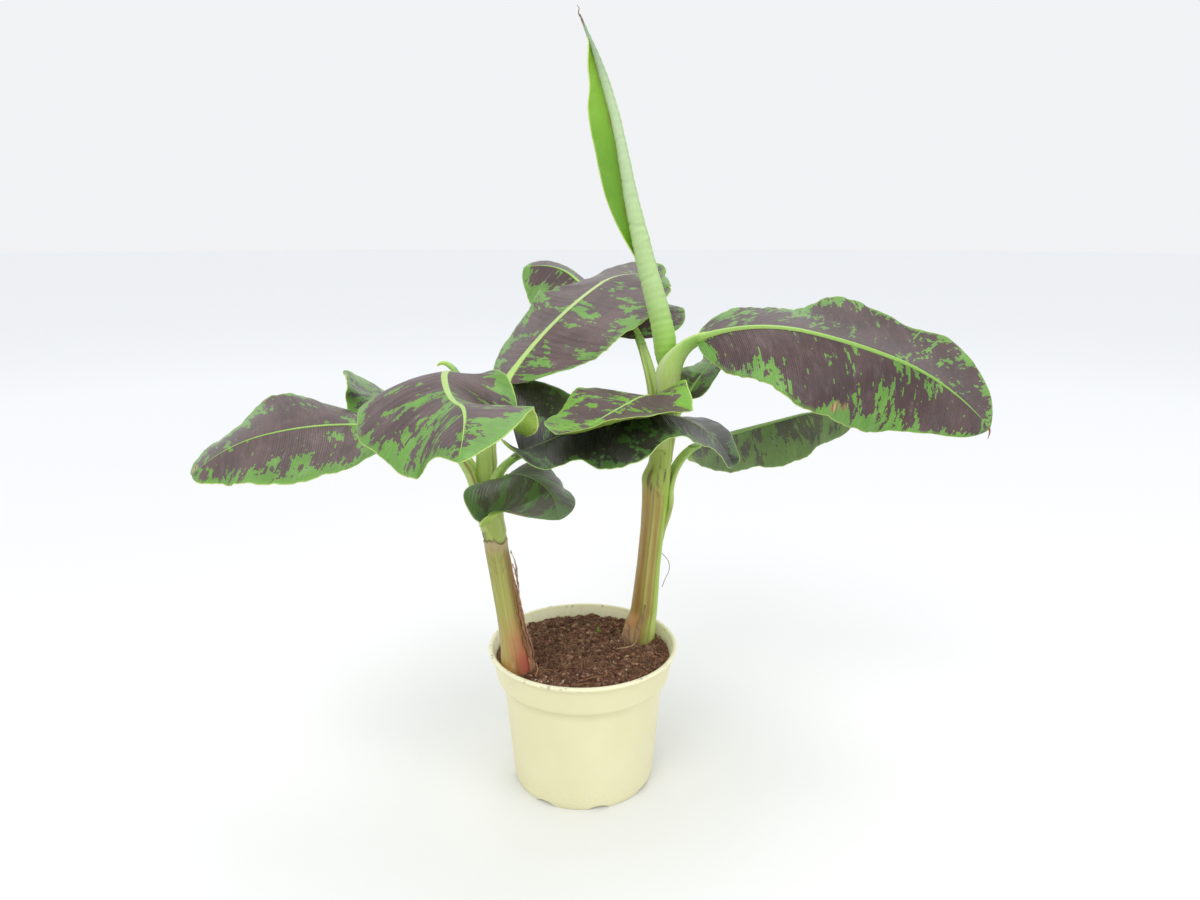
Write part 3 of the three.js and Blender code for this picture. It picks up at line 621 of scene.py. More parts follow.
def blade(name, leaf):
    """The blade's surface (rows, columns), and where each point is on the leaf."""
    nu, nv = max(60, int(leaf["length"] / ROW_STEP)), HALF_COLUMNS
    u = np.linspace(0, 1, nu + 1)
    u = 0.002 + 0.9965 * (0.45 * u + 0.55 * (0.5 - 0.5 * np.cos(np.pi * u)))
    full = np.maximum(fullness_of(leaf, u), 0.012)
    swell = np.sqrt(full)[:, None]
    place, ahead, right, up = (x[:, None] for x in rib_of(leaf)(leaf["petiole"] + u * leaf["length"]))
    seed = int(LOOKS[name][0] * 10)
    edges = np.linspace(0, 1, nv + 1) ** 0.9
    mids, v = (edges[1:] + edges[:-1]) / 2, edges[1:]
    along = (u * leaf["length"])[:, None]
    lean = max(0.0, VEIN_LEAN - leaf["sweep"])
    halves, across = [], []
    for key, side in (("left", -1), ("right", 1)):
        w, *folds, curl = leaf[key]
        g = np.radians(smooth(folds, u)[:, None] + curl * mids)[..., None]
        wide = (w * full * (1 + lobe_at(leaf, side, u)))[:, None]
        step = (wide * np.diff(edges))[..., None]
        move = (side * np.cos(g) * right + np.sin(g) * up + (leaf["sweep"] * mids)[:, None] * ahead) * step
        lift = np.zeros((nu + 1, nv))
        for size, count, phase, on in leaf["wave"]:
            if on in (0, side):
                lift += size * v ** 2 * swell * np.sin(2 * np.pi * (count * u + phase))[:, None]
        pleat = np.cos(2 * np.pi * (along - lean * wide * v) / VEIN_GAP)
        lift += PLEAT * pleat * np.sqrt(v * np.maximum(1.01 - v, 0)) * swell
        for size, shift, pitch, power in ((1.5, 1, 46, 1.5), (0.3, 5, 23, 4)):
            lift += size * wobble(along, seed + shift * side, pitch) * v ** power * swell
        halves.append(place + np.cumsum(move, 1) + lift[..., None] * up)
        across.append(side * wide * v)
    rows = np.concatenate([halves[0][:, ::-1], place, halves[1]], 1)
    y = np.concatenate([across[0][:, ::-1], 0 * along, across[1]], 1)
    out = np.concatenate([v[::-1], [0], v]) + 0 * along
    wide = np.where(np.arange(2 * nv + 1) < nv, np.abs(y[:, :1]), np.abs(y[:, -1:]))
    rim = np.minimum((1 - out) * wide, (1 - u)[:, None] * leaf["length"] + 0.4)
    where = np.stack([along - lean * np.abs(y), y, out], -1)
    dry = np.zeros(y.shape)
    for spot, side, far, size in DRY_SPOTS.get(name, ()):
        margin = y[:, -1:] if side > 0 else y[:, :1]
        d = np.hypot(along - spot * leaf["length"], 0.7 * (y - far * margin))
        dry = np.maximum(dry, ramp(d, size, size * 0.4))
    return rows, where, rim, dry


def midrib(leaf, n=70, sides=24):
    """Pale rib, a channelled band on the face and a round keel below: rings, and how far along they are."""
    s = np.linspace(-0.03, 1.0, n)[:, None] * leaf["length"]
    place, _, right, up = rib_of(leaf)(leaf["petiole"] + s)
    t = np.clip(s / leaf["length"], 0, 1)
    r0, middle = leaf["stalk"][1], 0.0095 * leaf["length"] + 0.5
    wide = middle * (1 - t ** 2.2) + 0.3 + (r0 * 0.97 - middle) * np.exp(-t / 0.05)
    deep = r0 * (0.8 * (1 - t) + 0.06)
    c, d = np.cos(around(sides)), np.sin(around(sides))
    crown = 0.5 + 0.1 * wide + 0.25 * r0 * np.exp(-t / 0.04)
    top = crown * np.maximum(d, 0) ** 0.5 * (1 - 0.3 * np.exp(-(c / 0.45) ** 2))
    low = -deep * np.maximum(-d, 0) ** 0.8
    return place + right * (wide * c)[..., None] + up * (top + low)[..., None], t + 0 * c


def make_leaf(name, leaf):
    seed, cover, purple, green, contrast = LOOKS[name]
    face = leaf_top("face_" + name, seed, cover, srgb(*purple), srgb(*green), contrast)
    piece = Piece()
    rows, where, rim, dry = blade(name, leaf)
    points, quads, slots = sheet(rows, BLADE * (0.35 + 0.65 * np.clip(rim / 3, 0, 1)))
    piece.add(points, quads, slot=slots % 2, leaf=twice(where), rim=twice(rim[..., None]),
              dry=twice(dry[..., None]))
    rings, t = midrib(leaf)
    foot, tip = RIB_TONES.get(name, FRESH_RIB)
    piece.skin(rings, blend(srgb(*foot), srgb(*tip), t), 2)
    if name == "right_outer":  # its brown drawn-out tip
        end, ahead, _, up = rib_of(leaf)(float(leaf["petiole"] + leaf["length"]))
        path = end + np.linspace(-2, 7, 10)[:, None] * ahead - np.linspace(0, 1, 10)[:, None] ** 2 * 7 * up
        piece.tube(path, np.linspace(1.3, 0.35, 10), 8, (134, 96, 72), 2)
    piece.build("banana_leaf_" + name, [face, UNDER, RIB], "leaf", ["leaf_" + name])


for leaf_name, sizes in LEAVES.items():
    make_leaf(leaf_name, sizes)


# ---- stalks -----------------------------------------------------------------------
def on_stem(stations, z):
    return [np.interp(z, stations[:, 2], stations[:, k]) for k in (0, 1, 3)]


# How brown the dried lips of a sheath are, and how much wider a sheath's mouth gapes.
LIP_BROWN = {"left_outer": 0.9, "left_front": 0.7, "left_low": 0.5, "back_top": 0.3}
SHEATH_FLARE = {"right_outer": 0.4}
STALK_SEAMS = ("left_low",)  # sheaths whose lower edge is a thin dark seam
STALK_DOWN = {"right_front": 30.0, "left_low": 43.0}  # how far a sheath runs down its stem


def make_stalk(name, leaf, n=46, sides=40):
    """Channelled stalk whose foot widens into a sheath that clasps the stem."""
    down, seam = STALK_DOWN.get(name, 46.0), name in STALK_SEAMS
    s = np.linspace(-down, leaf["petiole"] + 3, n)
    place, ahead, right, up = rib_of(leaf)(np.maximum(s, 0))
    s = s[:, None]
    place = place + np.maximum(s - leaf["petiole"], 0) * ahead
    foot, rise = np.array(leaf["foot"], float), np.array([0, 0, 1.0])
    z = foot[2] + np.minimum(s, 0)
    x, y, stem_r = on_stem(STEM_LEFT if foot[0] < 0 else STEM_RIGHT, z)
    head = rib_of(leaf)(float(leaf["petiole"]))[1]
    out = unit(head * [1, 1, 0])
    k = ramp(s, -down, 4)  # 0 deep on the stem, 1 on the free stalk

    def eased(clasping, leaving, free):
        return np.where(s < 0, clasping * (1 - k) + leaving * k, free)

    place = eased(np.concatenate([x, y, z], 1) + out * stem_r * 0.35, foot + rise * s, place)
    level = unit(np.cross(rise, out))
    level = level * np.sign((level * right[n // 2]).sum() or 1)
    right, up = unit(eased(level, right, right)), unit(eased(-out, up, up))
    r0, r1 = leaf["stalk"]
    free = np.clip(s / leaf["petiole"], 0, 1)
    r = r0 + (r1 - r0) * free
    flare = SHEATH_FLARE.get(name, 0) * np.exp(-((s - 20) / 26) ** 2)
    wide = eased(stem_r * (0.8 if seam else 0.9), r0, r) * (1 + flare)
    deep = eased(stem_r * 0.72, r0 * 0.95, r * 0.95) * (1 + 0.9 * flare)
    c, d = np.cos(around(sides)), np.sin(around(sides))
    groove = (0.62 * (1 - free) + 0.34 * free) * ramp(s, -down * 0.6, 6) * (1 + 1.5 * flare)
    lips = 0.5 + 1.6 * flare * np.abs(c) ** 2
    hollow = np.maximum(d, 0) ** (1 - 0.5 * min(1, flare.max())) * lips
    hollow = hollow - groove * np.exp(-(c / 0.5) ** 2) * (d > 0)
    lift = np.where(d > 0, hollow * wide, d * deep)
    rings = place[:, None] + right[:, None] * (wide * c)[..., None] + up[:, None] * lift[..., None]
    lipped = np.exp(-((np.abs(c) - 0.97) / 0.06) ** 2) * (d > -0.1)
    tint = coats(
        blend(srgb(178, 198, 110), srgb(150, 192, 92), free),
        ((134, 176, 84), 0.5 * ramp(free, 0.6, 1)),
        ((196, 214, 132), 0.5 * (d > 0.2)),
        ((132, 92, 66), lipped * LIP_BROWN.get(name, 0.12) * (1 - ramp(free, 0.3, 0.9))),
        ((172, 192, 148), SHEATH_FLARE.get(name, 0) * (1 - ramp(free, 0.5, 1.0)) * (d > 0.1)))
    collar = blend(srgb(148, 162, 74), srgb(166, 178, 98), ramp(-c, -0.6, 0.8))
    tint = blend(tint, collar, 0.85 * ramp(s, 4, -12))
    if seam:
        rings[..., 2] += 8 * c ** 2 * ramp(s, -down + 20, -down)
        tint = coats(tint, ((96, 70, 46), 0.85 * ramp(s, -down + 3.2, -down + 1.2)))
    piece = Piece()
    piece.skin(rings, tint)
    piece.build("leafstalk_" + name, [STALK], "stalk", ["stalk_" + name])


for leaf_name, sizes in LEAVES.items():
    make_stalk(leaf_name, sizes)


# ---- pseudostems ------------------------------------------------------------------
FAR = 9.0  # an angle that is near no sheath's edge


def rounded(stations, z, times):
    """The stations' values at each z, with the corners between them rounded."""
    rows = np.stack([np.interp(z, stations[:, 2], column) for column in stations.T], -1)
    for _ in range(times):
        rows[1:-1] = 0.25 * rows[:-2] + 0.5 * rows[1:-1] + 0.25 * rows[2:]
    return rows


def sheath_step(a, z, start, twist, low, high, step, reach=1.4):
    """Edge of a wrapped sheath: a small cliff at an angle that turns with height, easing off behind it."""
    edge = math.radians(start) + twist * (z - low)
    d = np.mod(a - edge, 2 * np.pi)
    fade = ramp(z, low - 4, low + 10) * ramp(z, high + 2, high - 18)
    inside = (z > low - 2) & (z < high)
    gap = np.where(inside, np.minimum(d, 2 * np.pi - d), FAR)
    return step * np.clip(1 - d / reach, 0, 1) * ramp(d, 0, 0.05) * fade, gap


def make_stem(side, stations, top_edge, paint, *sheaths):
    """Stem of wrapped sheaths: each has an edge angle, its twist, its lowest and highest z, and its step."""
    a, z = around(120), np.linspace(stations[0, 2], stations[-1, 2], 230)
    rows, z = rounded(stations, z, 14), z[:, None]
    relief, nearest = np.zeros((len(z), len(a))), FAR
    for spec in sheaths:
        lift, gap = sheath_step(a, z, *spec)
        relief += lift
        nearest = np.minimum(nearest, gap)
    above = z - (top_edge + 0.8 * wobble(a * 14, 3, 6.0) + 3.2 * np.cos(a + 1.2))
    relief += ramp(above, 1.2, -0.6) - 0.5
    relief += wobble(a * 16, 11, 2.4) * 0.03 + wobble(a * 16, 12, 9.0) * 0.16
    relief -= relief.mean(1)[:, None]
    rings = np.stack([rows[:, :1] + np.cos(a) * (rows[:, 3:4] + relief),
                      rows[:, 1:2] + np.sin(a) * (rows[:, 4:] + relief), z + 0 * relief], -1)
    piece = Piece()
    piece.skin(rings, paint(a, z, above, nearest))
    piece.build("stem_of_sheaths_" + side, [STEM], "stem", ["pseudostem_" + side])


def paint_left(a, z, above, nearest):
    rough = wobble(a * 20 + z * 0.1, 5, 9) * 0.5 + wobble(z, 6, 23) * 0.5
    blotch = wobble(a * 9 + 0.3 * wobble(z, 15, 30), 25, 5) * 0.6
    blotch = blotch + wobble(z + 6 * np.sin(a * 3), 26, 13) * 0.6
    streak = wobble(a * 50 + 0.6 * wobble(z, 15, 40), 16, 15)
    dried = ramp(above, -20, -8) * ramp(above, 1, -1)
    tint = coats(
        blend(srgb(156, 156, 76), srgb(172, 170, 92), ramp(streak, -0.9, 0.9)),
        ((132, 104, 66), 0.7 * toward(a, 178, 42) * ramp(z, 160, 200)),
        ((134, 98, 48), 0.85 * toward(a, -30, 42) * ramp(z, 168, 210)),
        ((176, 158, 116), 0.9 * dried * ramp(rough, -0.9, -0.2)),
        ((134, 120, 64), 0.5 * ramp(blotch, -0.2, 0.8) * ramp(above, -50, -34) * ramp(above, -6, -12)),
        ((178, 134, 82), ramp(z + 8 * rough, 236, 178) * (0.35 + 0.5 * toward(a, -50, 110))),
        ((186, 116, 84), 0.9 * ramp(z + 6 * rough, 214, 164) * toward(a, -60, 64)),
        ((188, 92, 78), 0.85 * ramp(z + 6 * rough, 188, 156) * toward(a, -44, 50)),
        ((150, 52, 62), 0.8 * ramp(z + 4 * rough, 178, 156) * toward(a, -14, 30)),
        ((206, 152, 96), 0.7 * ramp(z + 4 * rough, 172, 150) * toward(a, -124, 40)),
        ((214, 182, 140), 0.7 * toward(a, -100, 12) * np.exp(-((z - 158) / 4) ** 2)),
        ((128, 92, 58), 0.3 * ramp(nearest, 0.14, 0.0) * ramp(above, 3, -3)))
    green = coats(blend(srgb(142, 164, 66), srgb(168, 186, 96), toward(a, -95, 60)),
                  ((122, 138, 56), 0.5 * toward(a, -34, 40)))
    seam = np.exp(-((above + 0.4) / 1.2) ** 2) * (0.8 + 0.2 * np.sign(rough))
    spur = ramp(above, 30, 6) * (above > 0) * toward(a, 200, 52) * (0.9 + 0.3 * rough)
    tint = blend(tint, green, ramp(above, -0.4, 0.6))
    return coats(tint, ((100, 74, 50), np.clip(seam + spur, 0, 1) * 0.85))


def paint_right(a, z, _, nearest):
    rough = wobble(a * 20 + z * 0.1, 8, 9) * 0.5 + wobble(z, 9, 31) * 0.5
    streak = wobble(a * 50 + 0.8 * wobble(z, 17, 50), 18, 12)
    patches = wobble(a * 11 + 0.05 * z, 27, 4) * 0.6 + wobble(z + 5 * np.sin(a * 4), 28, 9) * 0.6
    tint = coats(
        blend(srgb(176, 160, 84), srgb(160, 182, 68), toward(a, -26, 76)),
        ((156, 192, 64), toward(a, -10, 66)),
        ((176, 190, 92), 0.7 * toward(a, 6, 34) * ramp(z, 330, 240)),
        ((170, 138, 76), 0.75 * toward(a, -150, 50) * ramp(z, 362, 320)))
    for centre, width, depth in ((-124, 24, 0.8), (-78, 20.8, 0.75)):
        band = toward(a + 0.04 * wobble(z, 19, 60), centre, width) * ramp(z, 352, 300) * ramp(z, 166, 200)
        tint = coats(tint, ((146, 100, 52), depth * band * (0.8 + 0.2 * rough)))
    tint = coats(
        # narrow pale olive-tan stripe down the front: a painted highlight
        tint, ((176, 172, 92), 0.7 * toward(a, -100, 20) * ramp(z, 350, 290)),
        ((132, 112, 60), 0.2 * ramp(streak, 0.2, 0.9) * ramp(z, 356, 330)),
        ((210, 158, 108), ramp(z + 5 * rough, 194, 174) * toward(a, -136, 66)),
        ((228, 202, 156), 0.75 * ramp(z + 3 * rough, 174, 158) * toward(a, -122, 44)),
        ((204, 216, 128), ramp(z + 4 * rough, 192, 160) * toward(a, -46, 46)),
        ((124, 92, 66), 0.35 * ramp(nearest, 0.12, 0.0)))
    crown = blend(srgb(150, 164, 72), srgb(164, 184, 84), toward(a, -50, 60))
    tint = coats(blend(tint, crown, ramp(z + 9 * rough, 330, 352)),
                 ((112, 100, 50), 0.75 * ramp(patches, 0.1, 0.6) * toward(a, -82, 34) * ramp(z, 322, 336)))
    for centre, level, height, width in ((-128, 351, 10, 17), (-112, 340, 6, 9), (-58, 352, 6, 10)):
        spot = toward(a, centre, width) * np.exp(-((z - level + 5 * rough) / height) ** 2)
        tint = coats(tint, ((96, 68, 48), np.clip(spot * 1.7 * (0.75 + 0.4 * streak), 0, 1) * 0.85))
    return tint


make_stem("left", STEM_LEFT, 297.0, paint_left,
          (-38, 0.0022, 137, 285, 1.1), (-84, 0.0012, 137, 190, 0.6), (95, -0.001, 137, 300, 1.0),
          (190, 0.001, 150, 300, 1.0), (-60, 0.004, 302, 366, 0.9), (120, 0.003, 302, 360, 0.9))
make_stem("right", STEM_RIGHT, 640.0, paint_right,
          (-108, 0.0006, 150, 345, 1.2), (-60, 0.0004, 137, 330, 0.8), (-160, 0.0006, 137, 300, 0.9),
          (70, -0.001, 137, 380, 1.3), (-50, 0.002, 360, 440, 1.0), (150, -0.002, 340, 430, 1.0))


# ---- rolled leaf ------------------------------------------------------------------
# Creases of the roll: their height, how deep they are, and the phase of their waver.
CREASES = ((560, -0.35, 1), (596, 0.5, 2), (612, -0.6, 4), (640, 0.45, 0), (655, -0.5, 3),
           (671, 0.5, 5), (693, -0.4, 2), (706, 0.4, 1), (533, 0.3, 4), (515, -0.3, 0))


def make_rolled():
    """The rolled blade, its loose half that hangs free on the left, and a dry thread at the very tip."""
    heights, a = np.linspace(ROLLED[0, 2] - 4, ROLLED[-1, 2], 260), around(72)
    rows = rounded(ROLLED, heights, 30)
    rows[:, 2] = heights
    ahead = unit(np.gradient(rows[:, :3], axis=0))
    right = unit(np.cross(ahead, (0, 1.0, 0)))  # right when seen from the front
    z, radius = rows[:, 2:3], rows[:, 3:]
    seam = math.radians(200) + 0.0022 * (z - 480)  # loose outer edge of the roll, on its left front
    d = np.mod(a - seam, 2 * np.pi)
    r = radius * (1 + 0.13 * np.clip(1 - d / (1.6 * np.pi), 0, 1) * ramp(d, 0, 0.06) - 0.05)
    crease = sum(h * np.exp(-((z + 2.5 * np.sin(a + p) - q) / 1.8) ** 2) for q, h, p in CREASES)
    r = r + crease * np.clip(radius / 8, 0, 1) + 0.14 * np.sin(z * 0.9 + 3 * np.sin(a))
    r = np.maximum(r + 0.8 * toward(a, 140, 60) * np.exp(-((z - 492) / 16) ** 2), 0.35)
    tint = coats(
        blend(srgb(150, 194, 82), srgb(174, 202, 138), ramp(z, 480, 565)),
        ((176, 198, 154), ramp(z, 560, 690)), ((140, 162, 130), ramp(z, 715, 785)),
        ((168, 206, 120), 0.5 * toward(a, 180, 50) * ramp(z, 600, 500)),
        ((138, 176, 110), 0.6 * ramp(d, 6.1, 6.28) + 0.35 * ramp(d, 0.35, 0)),
        ((112, 98, 82), ramp(z, 790, 798)))
    piece = Piece()
    piece.skin(rings_round(rows[:, :3], right, np.cross(right, ahead), a, r), tint)

    q = np.linspace(0, 1, 90)[:, None]
    high = FLAP_LOW - 6 + (FLAP_HIGH + 3 - FLAP_LOW + 6) * q
    x, y, rr = (np.interp(high, heights, rows[:, k]) for k in (0, 1, 3))
    v = np.linspace(0, 1, 22)
    wide = np.maximum(smooth(FLAP_WIDTHS, (high - FLAP_LOW) / (FLAP_HIGH - FLAP_LOW)), 0.1) + 0.45 * rr
    ripple = 0.5 * np.sin(2 * np.pi * high / 6.0) * v * (1 - v)
    bow = (1.5 * wobble(high, 21, 60) - 6) * v ** 2
    flap = np.stack([x - 0.55 * rr - wide * v, y + 0.35 * rr + bow + ripple, high + 0 * v], -1)
    near = ramp(v * wide - 0.45 * rr, 5.0, 0.0)
    green = coats(
        blend(srgb(98, 150, 24), srgb(120, 168, 38), ramp(q, 0.45, 0.75)),
        # olive tint close to the roll: painted shade cast by the roll
        ((116, 112, 44), 0.7 * near * (0.4 + 0.6 * ramp(wobble(high, 31, 44), 0.1, 0.9))),
        ((196, 216, 128), ramp((1 - v) * wide, 1.0, 0.3)))
    piece.add(*sheet(flap, 0.7)[:2], slot=1, tint=twice(green))

    tip = smooth([[0, 0, 801], [-1.2, -0.4, 804.5], [-0.6, 0, 808], [-2.6, 0.4, 811]], np.linspace(0, 1, 14))
    piece.tube(tip, np.linspace(0.75, 0.25, 14), 8, (126, 104, 80))
    piece.build("rolled_banana_leaf", [ROLL, ROLL], "rolled", ["rolled_leaf"])


def make_rolled_tip(n=60, sides=20):
    t = np.linspace(0, 1, n)
    r = np.maximum(smooth(ROLLED_TIP[:, 3], t), 0.4) + 0.12 * np.sin(60 * t)
    points, quads, tris = tube(smooth(ROLLED_TIP[:, :3], t), r, sides)
    t = np.concatenate([np.repeat(t, sides), [0, 1]])
    tint = blend(srgb(112, 156, 84), srgb(166, 200, 92), ramp(t, 0.2, 0.85))
    piece = Piece()
    piece.add(points, quads, tris, tint=coats(tint, ((206, 206, 110), ramp(t, 0.9, 1))))
    piece.build("rolled_leaf_end", [ROLL], "rolled", ["rolled_tip"])


make_rolled()
make_rolled_tip()


# ---- dry sheath -------------------------------------------------------------------
HUSK_STRIPS = [  # stem, angle, low, high, width at the foot, how far it stands off, shade
    (STEM_LEFT, -10, 150, 262, 11, 1.4, 0.3), (STEM_LEFT, 4, 160, 246, 8, 3.4, 0.6),
    (STEM_LEFT, 6, 236, 284, 7, 4.6, 0.9), (STEM_LEFT, -26, 149, 190, 8, 1.0, 0.1),
    (STEM_LEFT, -4, 222, 270, 4, 3.2, 0.8), (STEM_RIGHT, -96, 154, 198, 3.2, 1.4, 1.2),
    (STEM_RIGHT, -140, 149, 172, 13, 1.6, 1.0)]


def make_husk(n=70, m=9):
    """Ragged strips of dead sheath that peel from the right side of the left stem, and loose fibres."""
    piece = Piece()
    rng = np.random.default_rng(42)
    u, v = np.linspace(0, 1, n)[:, None], np.linspace(-1, 1, m)
    for k, (stem, angle, low, high, width, off, shade) in enumerate(HUSK_STRIPS):
        z = low + (high - low) * u
        x, y, r = on_stem(stem, z)
        arch = np.sin(np.pi * np.clip(u * 0.9 + 0.05, 0, 1)) * (0.85 + 0.15 * np.sin(9 * u + k))
        half = (width * (1 - u) ** 0.5 + 0.4) * (1 + 0.25 * wobble(z, 50 + k, 16)) / 2
        rag = half * (1 + 0.16 * rng.normal(size=(n, 2)) * u)
        spread = np.where(v < 0, rag[:, :1], rag[:, 1:]) * v
        away = r + 0.9 + off * arch + np.abs(v) ** 2 * np.sin(5 * u + k) + 0.4 * wobble(z, 70 + k, 9)
        g = math.radians(angle) + 0.14 * wobble(z, 60 + k, 60) * u + spread / (r + 3)
        ragged = 1.2 * rng.normal(size=(n, 1)) * (u > 0.92)
        rows = np.stack([x + away * np.cos(g), y + away * np.sin(g), z + ragged + 0 * v], -1)
        piece.add(*sheet(rows, 0.5)[:2], tint=blend(srgb(180, 122, 90), srgb(186, 150, 118), shade))
    steps = np.linspace(0, 1, 12)[:, None]
    for k in range(9):
        z0 = rng.uniform(155, 232)
        x, y, r = on_stem(STEM_LEFT, z0)
        g = math.radians(rng.uniform(-50, 20))
        start = np.array([x + (r + 2) * math.cos(g), y + (r + 2) * math.sin(g), z0])
        way = np.array([math.cos(g) * rng.uniform(0, 3) - 3, math.sin(g) * 3, rng.uniform(14, 40)])
        path = start + way * steps + np.array([1.2, 0, 0]) * np.sin(steps * 5 + k)
        piece.tube(path, np.linspace(0.35, 0.12, 12), 5, (150, 110, 80))
    # a thin hair that bows out from the right side of the right stem
    hair = [(87, 8, 262), (94, 5, 254), (95, 5, 243), (91, 7, 232), (88, 9, 222)]
    piece.tube(smooth(hair, np.linspace(0, 1, 30)), 0.35, 6, (96, 84, 60))
    piece.build("dry_sheath_strips", [HUSK], "dry_husk", ["dry_sheath"])


make_husk()


# ---- pot --------------------------------------------------------------------------
def pot_profile():
    """Radius and height from the middle of the floor up the inside, over the rim and down to the foot."""
    foot, low, top, rim = BODY_LOW_R, COLLAR_LOW_R, COLLAR_TOP_R, 2.6
    outside = [(foot - 4, 0), (foot - 2.6, 0.5), (foot - 1.2, 4), (foot - 0.3, 8), (foot + 0.1, 13)]
    outside += [(foot + (BODY_TOP_R - foot) * t, 13 + (COLLAR_Z - 14.6) * t) for t in np.linspace(0.1, 1, 10)]
    outside += [(BODY_TOP_R + 0.8, COLLAR_Z - 0.4), (low - 2.0, COLLAR_Z), (low - 0.6, COLLAR_Z + 0.5),
                (low + 0.1, COLLAR_Z + 2)]
    outside += [(low + (top - low) * t, COLLAR_Z + 2 + (POT_HEIGHT - 8 - COLLAR_Z) * t)
                for t in np.linspace(0.15, 1, 6)]
    outside += [(top + 0.6, POT_HEIGHT - 5.2)]
    outside += [(RIM_R - rim + rim * math.cos(t), POT_HEIGHT - rim + rim * math.sin(t))
                for t in np.linspace(-0.9, math.pi * 0.9, 14)]
    inside = [(top - WALL, POT_HEIGHT - 4), (low - WALL, COLLAR_Z + 3), (BODY_TOP_R - WALL, COLLAR_Z - 1),
              (foot - WALL - 1, FLOOR), (foot * 0.5, FLOOR)]
    return np.array(outside + inside)[::-1]


def make_pot():
    profile, a = pot_profile(), around(256)
    r, h = profile[:, :1], profile[:, 1:]
    points, quads, tris = skin(np.stack([r * np.cos(a), r * np.sin(a), h + 0 * a], -1))
    r, h = np.hypot(points[:, 0], points[:, 1]), points[:, 2]
    spots = field(points, 0.22, 3.0)
    wall = np.interp(h, [COLLAR_Z, POT_HEIGHT], [COLLAR_LOW_R - 1.3, COLLAR_TOP_R - 1.3])
    inside = (h > COLLAR_Z + 2) & (r < wall)
    dirt = ramp(spots, 0.46, 0.62) * ramp(h, POT_HEIGHT - 5, POT_HEIGHT - 2) * 0.5
    dirt += 0.3 * ramp(h, SOIL_Z + 4, SOIL_Z - 2) * inside * ramp(spots, -0.3, 0.4)
    # whiter rim top is a painted highlight; the paler inner wall is painted light over its shade
    pale = 0.9 * ramp(h, POT_HEIGHT - 3.5, POT_HEIGHT - 0.5) + 0.9 * inside
    piece = Piece()
    piece.add(points, quads, tris, dirt=np.clip(dirt, 0, 1), pale=np.clip(pale, 0, 0.9))
    pot = piece.build("nursery_pot", [pot_plastic()], "pot", ["pot"], sharp=48)
    reach = (BODY_LOW_R + 3) * MM
    for k in range(FOOT_NOTCHES):
        turn = 2 * math.pi * (k + 0.3) / FOOT_NOTCHES
        bpy.ops.mesh.primitive_cylinder_add(
            vertices=48, radius=NOTCH_R * MM, depth=20 * MM, rotation=(0, math.pi / 2, turn),
            location=(reach * math.cos(turn), reach * math.sin(turn), (NOTCH_HEIGHT - NOTCH_R) * MM))
        cutter = bpy.context.object
        cut = pot.modifiers.new("notch", "BOOLEAN")
        cut.operation, cut.solver, cut.object = "DIFFERENCE", "EXACT", cutter
        bpy.context.view_layer.objects.active = pot
        bpy.ops.object.modifier_apply(modifier=cut.name)
        bpy.data.objects.remove(cutter)


make_pot()


# ---- soil -------------------------------------------------------------------------
INNER_R = COLLAR_LOW_R - WALL + (COLLAR_TOP_R - COLLAR_LOW_R) * 0.6 - 0.4  # of the pot at the soil
CRUMBS, FIBRES = 6800, 2600
CRUMB_SHADES = [(106, 72, 60), (146, 102, 84), (168, 124, 102), (126, 88, 74), (184, 144, 120)]
FIBRE_SHADES = [(122, 92, 72), (146, 114, 88), (92, 66, 52), (164, 134, 106)]
ROOTS = (  # points, radius and colour: by the right stem, by the left stem, and loose in front
    ([(58, 14, 151), (55, 8, 150.5), (49, 3, 151.5), (42, 1.5, 151), (38, 3, 150)], 0.75, (206, 178, 138)),
    ([(60, 16, 168), (61, 13, 160), (59, 10, 153), (58, 13, 150)], 0.55, (196, 160, 120)),
    ([(-49, -50, 160), (-47, -54, 154), (-49, -58, 150), (-48, -62, 150)], 0.6, (186, 140, 100)),
    ([(2, -70, 150.5), (10, -66, 151.5), (20, -64, 151.5), (28, -58, 151)], 0.6, (158, 118, 88)),
    ([(-6, -78, 149.5), (4, -76, 150.5), (12, -77, 150)], 0.5, (166, 122, 92)))
# Where the white grit lies: x, y, spread and count.
GRIT = ((46, 22, 5, 22), (78, 15, 4, 5), (-45, -66, 3, 9), (6, -52, 30, 12), (-18, -60, 20, 8))


def soil_top(x, y):
    """Height of the soil with its swell and its clumps."""
    swell = (SOIL_Z - 1.5 + 3 * np.exp(-((x - 5) ** 2 + (y + 10) ** 2) / 5200)
             + 1.3 * np.sin(0.11 * x + 1.7 * np.sin(0.07 * y)) * np.cos(0.13 * y + 0.6)
             + 0.9 * np.sin(0.31 * x + 0.23 * y + 1.1) * np.sin(0.27 * y - 0.19 * x))
    p = np.stack([x, y, 0 * x], -1)
    return swell + 2.6 * field(p, 0.075, 2.0, 4) + 1.9 * field(p, 0.26, 7.0, 3)


def clear_of_stems(x, y, gap):
    ok = np.ones(np.shape(x), bool)
    for stations in (STEM_LEFT, STEM_RIGHT):
        ok &= np.hypot(x - stations[1, 0], y - stations[1, 1]) > stations[1, 3] + gap
    return ok


def grain():
    """Corners and triangles of a small round solid."""
    bm = bmesh.new()
    bmesh.ops.create_icosphere(bm, subdivisions=1, radius=1.0)
    corners = np.array([v.co for v in bm.verts])
    tris = np.array([[v.index for v in f.verts] for f in bm.faces])
    bm.free()
    return corners, tris


def make_bed():
    radii, a = np.concatenate([[1.0, 1.0], np.linspace(0.985, 0.02, 92)])[:, None] * INNER_R, around(260)
    rings = np.stack([radii * np.cos(a), radii * np.sin(a), 0 * radii * a], -1)
    rings[..., 2] = soil_top(rings[..., 0], rings[..., 1])
    rings[0] = rings[0] * [0.95, 0.95, 0] + [0, 0, COLLAR_Z + 4]
    piece = Piece()
    piece.add(*skin(rings), tint=srgb(150, 106, 88))
    piece.build("soil_bed", [PEAT], "soil", ["soil"])


